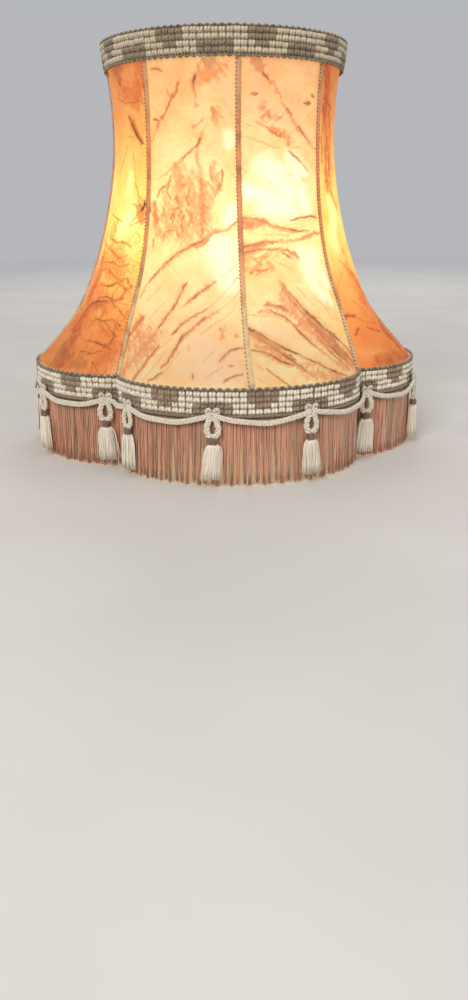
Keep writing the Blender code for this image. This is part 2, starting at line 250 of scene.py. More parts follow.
class Shape:
    """Points and faces gathered from many small solids, made into one mesh at the end."""

    def __init__(self):
        self.points, self.faces, self.runs, self.count = [], [], [], 0

    def add(self, points, faces, material=0, run=None):
        """Faces are arrays of indices into the points, one array for each face size.

        run gives each point (turns round its thread, metres along it), for the yarn's ply.
        """
        points = np.asarray(points, float).reshape(-1, 3)
        run = np.zeros((len(points), 2)) if run is None else np.asarray(run).reshape(-1, 2)
        self.points.append(points)
        self.runs.append(run)
        for block in faces:
            self.faces.append((np.asarray(block) + self.count, material))
        self.count += len(points)

    def tubes(self, lines, normals, radius, sides=6, closed=False, flat=1.0, material=0):
        """Tubes along lines (many, points, 3). normals point out of the cloth at each point."""
        lines = np.asarray(lines, float)
        if lines.ndim == 2:
            lines, normals = lines[None], np.asarray(normals)[None]
        many, steps = lines.shape[:2]
        if closed:
            along = np.roll(lines, -1, axis=1) - np.roll(lines, 1, axis=1)
        else:
            along = np.gradient(lines, axis=1)
        along = unit(along)
        across = unit(np.cross(along, np.broadcast_to(normals, lines.shape)))
        out = np.cross(across, along)
        turn = math.tau * np.arange(sides) / sides
        radius = np.broadcast_to(radius, (many, steps))[..., None, None]
        ring = (
            across[:, :, None] * np.cos(turn)[:, None]
            + out[:, :, None] * np.sin(turn)[:, None] * flat
        )
        points = lines[:, :, None] + ring * radius
        length = np.linalg.norm(np.diff(lines, axis=1), axis=-1)
        length = np.concatenate([np.zeros((many, 1)), np.cumsum(length, axis=1)], axis=1)
        run = np.stack(
            np.broadcast_arrays(turn[None, None] / math.tau, length[:, :, None]), axis=-1
        )
        base = (np.arange(many) * steps * sides)[:, None, None]
        blocks = [(base + grid_quads(steps, sides, closed)).reshape(-1, 4)]
        if not closed:
            blocks.append((base + end_caps(steps, sides)).reshape(-1, sides))
        self.add(points, blocks, material, run)

    def object(self, name, materials, smooth=True):
        """The finished object, linked to the scene."""
        points = np.concatenate(self.points)
        mesh = bpy.data.meshes.new(name)
        mesh.vertices.add(len(points))
        mesh.vertices.foreach_set("co", points.astype(np.float32).ravel())
        loops = np.concatenate([block.ravel() for block, _ in self.faces])
        sizes = np.concatenate([np.full(len(block), block.shape[1]) for block, _ in self.faces])
        slots = np.concatenate([np.full(len(block), slot) for block, slot in self.faces])
        mesh.loops.add(len(loops))
        mesh.loops.foreach_set("vertex_index", loops.astype(np.int32))
        mesh.polygons.add(len(sizes))
        starts = np.concatenate([[0], np.cumsum(sizes)[:-1]])
        mesh.polygons.foreach_set("loop_start", starts.astype(np.int32))
        mesh.polygons.foreach_set("material_index", slots.astype(np.int32))
        mesh.update(calc_edges=True)
        layer = mesh.uv_layers.new(name="Run")
        layer.data.foreach_set("uv", np.concatenate(self.runs)[loops].astype(np.float32).ravel())
        if smooth:
            mesh.shade_smooth()
        for material in materials:
            mesh.materials.append(material)
        mesh.validate()
        item = bpy.data.objects.new(name, mesh)
        bpy.context.scene.collection.objects.link(item)
        return item


def strip(back, front, foot, top):
    """Section, as (offset, height), of a thin band between two offsets and two heights."""
    return ((back, foot), (front, foot), (front, top), (back, top))


def band_loft(section, place, steps, total):
    """Points and quads of a closed ring with this (offset, height) section."""
    distance = np.arange(steps) / steps * total
    section = np.array(section)
    points = place(distance[:, None], section[None, :, 1], section[None, :, 0])
    return points, [grid_quads(steps, len(section), closed_rows=True)]


def outward(place, distance, height, offset):
    """Unit directions out of the band at these points, level with the floor."""
    step = 0.0004
    along = place(distance + step, height, offset) - place(distance - step, height, offset)
    return unit(np.stack([along[..., 1], -along[..., 0], np.zeros(along.shape[:-1])], axis=-1))


def lay(shape, place, flat_lines, radius, **how):
    """Tubes whose lines are given as (distance, height, offset) on a band."""
    flat_lines = np.asarray(flat_lines, float)
    distance, height, offset = (flat_lines[..., i] for i in range(3))
    lines = place(distance, height, offset)
    shape.tubes(lines, outward(place, distance, height, offset), radius, **how)


def wound(line, across, sideways, out, outward_by):
    """A line moved sideways and outward by an amount of its own at each point."""
    return line + across * sideways[:, None] + out * outward_by[:, None]


# ---------------------------------------------------------------- materials


class Look:
    """A procedural material being wired up."""

    def __init__(self, name):
        self.material = bpy.data.materials.new(name)
        self.material.use_nodes = True
        self.tree = self.material.node_tree
        self.tree.nodes.clear()

    def node(self, kind, inputs=None, **settings):
        """A node, with values or links for its inputs by name or number."""
        node = self.tree.nodes.new("ShaderNode" + kind)
        for key, value in settings.items():
            setattr(node, key, value)
        for key, value in (inputs or {}).items():
            self.feed(node.inputs[key], value)
        return node

    def feed(self, socket, value):
        """Links a socket to another node's output, or sets its value."""
        if isinstance(value, bpy.types.NodeSocket):
            self.tree.links.new(value, socket)
        else:
            socket.default_value = value

    def math(self, operation, *values):
        return self.node("Math", dict(enumerate(values)), operation=operation).outputs[0]

    def noise(self, vector, scale, detail=3.0, rough=0.55, distortion=0.0):
        inputs = {
            "Vector": vector,
            "Scale": scale,
            "Detail": detail,
            "Roughness": rough,
            "Distortion": distortion,
        }
        return self.node("TexNoise", inputs).outputs[0]

    def stretched(self, vector, scale, turn=0.0):
        """The vector turned about Z, then scaled on each axis."""
        turned = self.node("Mapping", {"Vector": vector, "Rotation": (0.0, 0.0, turn)}).outputs[0]
        return self.node("Mapping", {"Vector": turned, "Scale": scale}).outputs[0]

    def span(self, value, low, high, to_low=0.0, to_high=1.0):
        """The value eased from low..high to to_low..to_high and held at both ends."""
        names = ("Value", "From Min", "From Max", "To Min", "To Max")
        inputs = dict(zip(names, (value, low, high, to_low, to_high)))
        return self.node("MapRange", inputs, interpolation_type="SMOOTHSTEP").outputs[0]

    def mix(self, share, a, b, kind="MIX"):
        node = self.node("Mix", data_type="RGBA", blend_type=kind)
        self.feed(node.inputs[0], share)
        for socket, value in ((node.inputs[6], a), (node.inputs[7], b)):
            self.feed(socket, (*value, 1.0) if isinstance(value, tuple) else value)
        return node.outputs[2]

    def bump(self, height, distance):
        return self.node("Bump", {"Height": height, "Distance": distance}).outputs[0]

    def place(self):
        return self.node("TexCoord").outputs["Object"]

    def island(self):
        """A number of its own for every separate thread."""
        return self.node("NewGeometry").outputs["Random Per Island"]

    def height(self, where):
        return self.node("SeparateXYZ", {0: where}).outputs[2]

    def finish(self, surface):
        self.node("OutputMaterial", {"Surface": surface})
        return self.material

    def solid(self, tint, rough, relief, depth, through=0.0, lit=None, **others):
        """The finished material. through is the share of light it lets past, lit its tint."""
        inputs = {"Base Color": tint, "Roughness": rough, "Normal": self.bump(relief, depth)}
        inputs.update((name.replace("_", " "), value) for name, value in others.items())
        surface = self.node("BsdfPrincipled", inputs).outputs[0]
        if through:
            past = self.node("BsdfTranslucent", {"Color": tint if lit is None else lit})
            surfaces = {0: through, 1: surface, 2: past.outputs[0]}
            surface = self.node("MixShader", surfaces).outputs[0]
        return self.finish(surface)


YARN_PLIES = 2.0


def yarn(name, colour, shade, pitch=0.0022, rough=0.85, glow=0.0):
    """Plied thread: colour varies by thread and along it, with painted shade between the plies."""
    look = Look(name)
    where = look.place()
    run = look.node("UVMap", uv_map="Run").outputs[0]
    parts = look.node("SeparateXYZ", {0: run})
    winds = look.math("DIVIDE", parts.outputs[1], pitch)
    turn = look.math("MULTIPLY_ADD", parts.outputs[0], YARN_PLIES, winds)
    wave = look.math("SINE", look.math("MULTIPLY", turn, math.tau))
    groove = look.span(wave, -1.0, -0.1)
    island = look.island()
    cloud = look.noise(where, 90.0, 4.0, 0.6)
    fibre = look.noise(where, 2600.0, 3.0, 0.7)
    tone = look.math("ADD", look.math("MULTIPLY", island, 0.5), look.math("MULTIPLY", cloud, 0.5))
    tint = look.mix(look.span(tone, 0.2, 0.8), shade, colour)
    # dark is the painted shade between the plies, and also the colour of fine dark flecks.
    dark = tuple(channel * 0.45 for channel in shade)
    tint = look.mix(look.math("MULTIPLY", look.span(groove, 0.0, 1.0, 1.0, 0.0), 0.55), tint, dark)
    tint = look.mix(look.span(fibre, 0.35, 0.75, 0.0, 0.25), tint, dark)
    relief = look.math("ADD", look.math("MULTIPLY", wave, 0.6), fibre)
    gloss = look.span(fibre, 0.3, 0.7, rough - 0.12, rough)
    return look.solid(tint, gloss, relief, 0.00025, glow, Sheen_Weight=0.35, Sheen_Roughness=0.5)


# ---------------------------------------------------------------- skin

NEAR = "Near"


def near_group():
    """A node group: 1 on one straight piece of a mark, 0 at its half width, less beyond."""
    tree = bpy.data.node_groups.new(NEAR, "ShaderNodeTree")
    for name in ("Point", "Start", "Way"):
        tree.interface.new_socket(name, in_out="INPUT", socket_type="NodeSocketVector")
    for name in ("Scale", "Width", "Growth"):
        tree.interface.new_socket(name, in_out="INPUT", socket_type="NodeSocketFloat")
    tree.interface.new_socket("Near", in_out="OUTPUT", socket_type="NodeSocketFloat")
    given, out = tree.nodes.new("NodeGroupInput"), tree.nodes.new("NodeGroupOutput")

    def step(kind, operation, *sources):
        node = tree.nodes.new(kind)
        node.operation = operation
        for socket, source in zip(node.inputs, sources):
            if isinstance(source, bpy.types.NodeSocket):
                tree.links.new(source, socket)
            else:
                socket.default_value = source
        return node

    vector, number = "ShaderNodeVectorMath", "ShaderNodeMath"
    gap = step(vector, "SUBTRACT", given.outputs["Point"], given.outputs["Start"]).outputs[0]
    dot = step(vector, "DOT_PRODUCT", gap, given.outputs["Way"]).outputs["Value"]
    part = step(number, "MULTIPLY", dot, given.outputs["Scale"]).outputs[0]
    part = step(number, "MAXIMUM", part, 0.0).outputs[0]
    part = step(number, "MINIMUM", part, 1.0).outputs[0]
    foot = step(vector, "SCALE", given.outputs["Way"])
    tree.links.new(part, foot.inputs["Scale"])
    away = step(vector, "DISTANCE", gap, foot.outputs[0]).outputs["Value"]
    reach = step(
        number, "MULTIPLY_ADD", part, given.outputs["Growth"], given.outputs["Width"]
    ).outputs[0]
    share = step(number, "DIVIDE", away, reach).outputs[0]
    tree.links.new(step(number, "SUBTRACT", 1.0, share).outputs[0], out.inputs["Near"])
    return tree


def gathered(look, point, marks):
    """The strongest of several marks at each point: 1 on its line, 0 at its half width."""
    group = bpy.data.node_groups.get(NEAR) or near_group()
    best = None
    for mark in marks:
        mark = np.reshape(mark, (-1, 3)) / 1000
        for (u, v, width), (u_next, v_next, width_next) in zip(mark, mark[1:]):
            way = (u_next - u, v_next - v, 0.0)
            node = look.node("Group", node_tree=group)
            look.feed(node.inputs["Point"], point)
            node.inputs["Start"].default_value = (u, v, 0.0)
            node.inputs["Way"].default_value = way
            node.inputs["Scale"].default_value = 1.0 / max(way[0] ** 2 + way[1] ** 2, 1e-8)
            node.inputs["Width"].default_value = width
            node.inputs["Growth"].default_value = width_next - width
            value = node.outputs[0]
            best = value if best is None else look.math("MAXIMUM", best, value)
    return best


def centred(look, vector, scale, detail):
    """A noise vector about zero."""
    noise = look.node("TexNoise", {"Vector": vector, "Scale": scale, "Detail": detail})
    inputs = {0: noise.outputs["Color"], 1: (0.5, 0.5, 0.5)}
    return look.node("VectorMath", inputs, operation="SUBTRACT").outputs[0]


def moved(look, vector, by, reach):
    inputs = {0: by, 1: (reach, reach, 0.0), 2: vector}
    return look.node("VectorMath", inputs, operation="MULTIPLY_ADD").outputs[0]


def streaks(look, here, index, across, up, detail, rough, distortion):
    """Noise drawn out along the grain of this panel's skin."""
    along = look.stretched(here, (across, up, 1.0), STREAK_TURNS[index])
    return look.noise(along, 1.0, detail, rough, distortion)


def crackled(look, here, shiver, tall, fleck, index):
    """Broken lines round small cells, in patches, and more of them near the rim."""
    region = look.noise(here, 13.0, 2.0, 0.5)
    ropy = moved(look, here, shiver, 0.006)
    cells = look.node(
        "TexVoronoi", {"Vector": ropy, "Scale": 125.0}, feature="DISTANCE_TO_EDGE"
    ).outputs[0]
    broken = look.span(fleck, 0.40, 0.54)
    crackle = look.math("MULTIPLY", look.span(cells, 0.0, 0.10, 1.0, 0.0), broken)
    low = 0.62 - 0.4 * CRACKLE[index]
    crackle = look.math("MULTIPLY", crackle, look.span(region, low, low + 0.12))
    crackle = look.math("MULTIPLY", crackle, look.span(tall, 0.100, 0.140, 0.8, 0.15))
    return look.math("MULTIPLY", crackle, CRACKLE[index])


def marked(look, tone, flat, here, shiver, fibre, streak, index):
    """The tone with this panel's marks over it, their edges frayed by noise."""
    bent = moved(look, flat, centred(look, here, 45.0, 3.0), 0.004)
    bent = moved(look, bent, shiver, 0.0022)
    wavy = moved(look, bent, centred(look, here, 520.0, 2.0), 0.0011)
    torn = moved(look, wavy, shiver, 0.0025)
    ragged = moved(look, moved(look, bent, shiver, 0.005), centred(look, here, 90.0, 4.0), 0.012)
    blots = look.span(look.noise(here, 170.0, 5.0, 0.66), 0.38, 0.58, 0.50, 1.0)
    hairs = look.span(fibre, 0.36, 0.62, 0.65, 1.0)
    ridges = look.span(streak, 0.40, 0.60, 0.50, 1.0)
    plumes = streaks(look, here, index, 70.0, 330.0, 4.0, 0.62, 0.9)
    feather = look.span(plumes, 0.32, 0.68, -0.50, 0.45)
    frayed = look.span(look.noise(here, 75.0, 3.0, 0.6), 0.34, 0.66, -0.35, 0.20)
    layers = (
        # The clear marks are painted hot spots of the lamp shining through, on clearer skin.
        ("clear", bent, 0.0, 1.0, 0.95, None, None),
        ("peach", ragged, 0.0, 0.7, 0.7, None, feather),
        ("stain", ragged, -0.3, 0.7, 1.0, blots, feather),
        # Greyish brown painted shade, under the top braid and near the foot.
        ("smoke", ragged, 0.0, 0.8, 0.7, None, feather),
        ("band", torn, -0.1, 0.8, 0.88, hairs, feather),
        ("rust", torn, -0.2, 0.6, 0.90, blots, frayed),
        ("faint", wavy, 0.0, 0.9, 0.58, ridges, None),
        ("line", wavy, -0.15, 0.7, 0.95, ridges, frayed),
        ("dark", wavy, -0.05, 0.8, 0.96, ridges, frayed),
        ("spot", wavy, -0.1, 0.6, 1.0, None, frayed),
    )
    for kind, point, low, high, most, grain, rough in layers:
        marks = MARKS[kind].get(index) or made_up(kind, index)
        if not marks:
            continue
        near = gathered(look, point, marks)
        if rough is not None:
            near = look.math("ADD", near, rough)
        if kind in ("line", "dark", "spot"):
            tone = look.mix(look.span(near, -HALO, 0.6, 0.0, 0.5), tone, SKIN_STAIN)
        share = look.span(near, low, high, 0.0, most)
        if grain is not None:
            share = look.math("MULTIPLY", share, grain)
        tone = look.mix(share, tone, MARK_COLOURS[kind])
    return tone


def skin_look(index):
    """Translucent goatskin lit from inside: marbled, streaked, veined and a little glossy."""
    look = Look(f"skin_{index + 1}")
    flat = look.node("UVMap", uv_map="Hide").outputs[0]
    tall = look.node("SeparateXYZ", {0: flat}).outputs[1]
    shift = (0.37 * index, 0.53 * index, 0.29 * index)
    here = look.node("VectorMath", {0: flat, 1: shift}, operation="ADD").outputs[0]
    shiver = centred(look, here, 230.0, 2.0)
    mottle = look.noise(here, 38.0, 7.0, 0.66)
    fleck = look.noise(here, 150.0, 4.0, 0.65)
    fibre = streaks(look, here, index, 150.0, 480.0, 5.0, 0.7, 0.8)
    streak = streaks(look, here, index, 10.0, 85.0, 5.0, 0.65, 0.6)

    tone = look.mix(look.span(mottle, 0.36, 0.64), SKIN_AMBER, SKIN_PALE)
    tone = look.mix(look.span(streak, 0.55, 0.74, 0.0, 0.55), tone, SKIN_ORANGE)
    tone = look.mix(look.span(fleck, 0.54, 0.76, 0.0, 0.42), tone, SKIN_ORANGE)
    tone = look.mix(crackled(look, here, shiver, tall, fleck, index), tone, SKIN_CRACK)
    tone = look.mix(look.span(fibre, 0.52, 0.74, 0.0, 0.34), tone, SKIN_ORANGE)
    tone = marked(look, tone, flat, here, shiver, fibre, streak, index)
    # Partly painted light: the tone lightened or darkened by height as the lamp lights it.
    low, middle, high = PANEL_TINTS_AND_PAINTED_LIGHT[index]
    tint = look.mix(look.span(tall, 0.030, 0.120), low, middle)
    tint = look.mix(look.span(tall, 0.145, 0.235), tint, high)
    tone = look.mix(1.0, tone, tint, "MULTIPLY")

    pores = look.math("MULTIPLY", look.noise(here, 900.0, 3.0, 0.6), 0.35)
    # Painted glow: the skin emits its own tone, on top of the lamp's light through it.
    look.material.cycles.emission_sampling = "NONE"
    return look.solid(
        look.mix(SKIN_SHADE_SHARE, tone, SKIN_SHADE),
        look.span(fleck, 0.3, 0.7, 0.38, 0.58),
        look.math("ADD", look.math("MULTIPLY", mottle, 2.0), pores),
        0.0006,
        SKIN_THROUGH,
        tone,
        Emission_Color=tone,
        Emission_Strength=SKIN_PAINTED_GLOW,
        Coat_Weight=0.15,
        Coat_Roughness=0.35,
    )


def made_up(kind, index):
    """Marks for a panel whose own are not known, drawn by a generator of its own."""
    if kind not in MADE_UP or index in KNOWN_PANELS:
        return ()
    count, usual_width = MADE_UP[kind]
    draw = np.random.default_rng(70 + 10 * index + len(kind))
    slope = STREAK_TURNS[index]
    marks = []
    for _ in range(count):
        u, v = draw.uniform(-30, 30), draw.uniform(20, 230)
        # A made-up panel gets one painted hot spot of the lamp's light, half way up.
        if kind == "clear":
            marks.append((u * 0.5, 90.0, 30.0, u * 0.5, 130.0, 24.0))
            continue
        length = draw.uniform(10, 26) if kind in ("stain", "rust") else draw.uniform(14, 46)
        width = usual_width * draw.uniform(0.6, 1.4)
        turn = slope + draw.normal(0.0, 0.25)
        mark = []
        for step in range(4):
            mark += [u, v, width * (0.6 if step in (0, 3) else 1.0)]
            u += length / 3 * math.cos(turn)
            v += length / 3 * math.sin(turn)
            turn += draw.normal(0.0, 0.3)
        marks.append(mark)
    return marks


# How many marks of each kind such a panel gets, and their usual half width in millimetres.
MADE_UP = {
    "clear": (1, 30.0),
    "stain": (6, 7.0),
    "band": (7, 2.2),
    "rust": (4, 2.6),
    "faint": (14, 1.1),
    "line": (13, 1.0),
}
SKIN_PALE = (1.0, 0.76, 0.43)
SKIN_AMBER = (1.0, 0.60, 0.28)
SKIN_ORANGE = (0.96, 0.46, 0.20)
SKIN_STAIN = (0.82, 0.31, 0.13)
SKIN_CRACK = (0.78, 0.30, 0.09)
SKIN_RUST = (0.58, 0.16, 0.065)
SKIN_BROWN = (0.33, 0.12, 0.052)
SKIN_DARK = (0.17, 0.07, 0.055)
SKIN_BLACK = (0.03, 0.014, 0.01)
HALO = 2.2
MARK_COLOURS = {
    # Near white of the painted hot spots where the lamp shines through.
    "clear": (1.0, 0.97, 0.78),
    "peach": (1.0, 0.68, 0.46),
    "stain": SKIN_STAIN,
    # Colour of the painted shade under the top braid and near the foot.
    "smoke": (0.52, 0.30, 0.20),
    "band": (0.80, 0.30, 0.14),
    "rust": SKIN_RUST,
    "faint": (0.56, 0.31, 0.14),
    "line": SKIN_BROWN,
    "dark": SKIN_DARK,
    "spot": SKIN_BLACK,
}
SKIN_SHADE = (0.56, 0.31, 0.13)
SKIN_SHADE_SHARE = 0.55
# Strength of the skin's painted glow.
SKIN_PAINTED_GLOW = 0.24
SKIN_THROUGH = 0.62

# Each panel's tint near the rim, half way up and near the head.
# Partly each skin's own colour, partly painted light by height, as the lamp lights the skin.
PANEL_TINTS_AND_PAINTED_LIGHT = (
    ((1.04, 1.30, 1.55), (1.0, 1.16, 1.25), (0.97, 0.92, 0.84)),
    ((1.06, 1.38, 1.60), (1.0, 1.18, 1.30), (0.97, 0.92, 0.88)),
    ((1.00, 0.52, 0.22), (1.0, 1.12, 0.75), (0.80, 0.46, 0.30)),
    ((0.9, 0.8, 0.7), (1.0, 1.0, 0.9), (0.9, 0.62, 0.48)),
    ((0.95, 0.9, 0.85), (1.0, 1.05, 1.0), (0.95, 0.66, 0.56)),
    ((0.9, 0.85, 0.8), (1.0, 1.0, 0.95), (0.95, 0.66, 0.54)),
    ((0.85, 0.65, 0.5), (1.0, 1.05, 0.9), (0.85, 0.55, 0.42)),
    ((0.92, 0.55, 0.27), (1.0, 1.18, 0.75), (0.80, 0.47, 0.27)),
)
STREAK_TURNS = (0.95, -0.62, 1.45, 0.7, 2.2, -0.8, 1.1, 1.35)
CRACKLE = (0.16, 0.10, 0.30, 0.5, 0.2, 0.3, 0.6, 0.95)
KNOWN_PANELS = (0, 1, 2, 7)
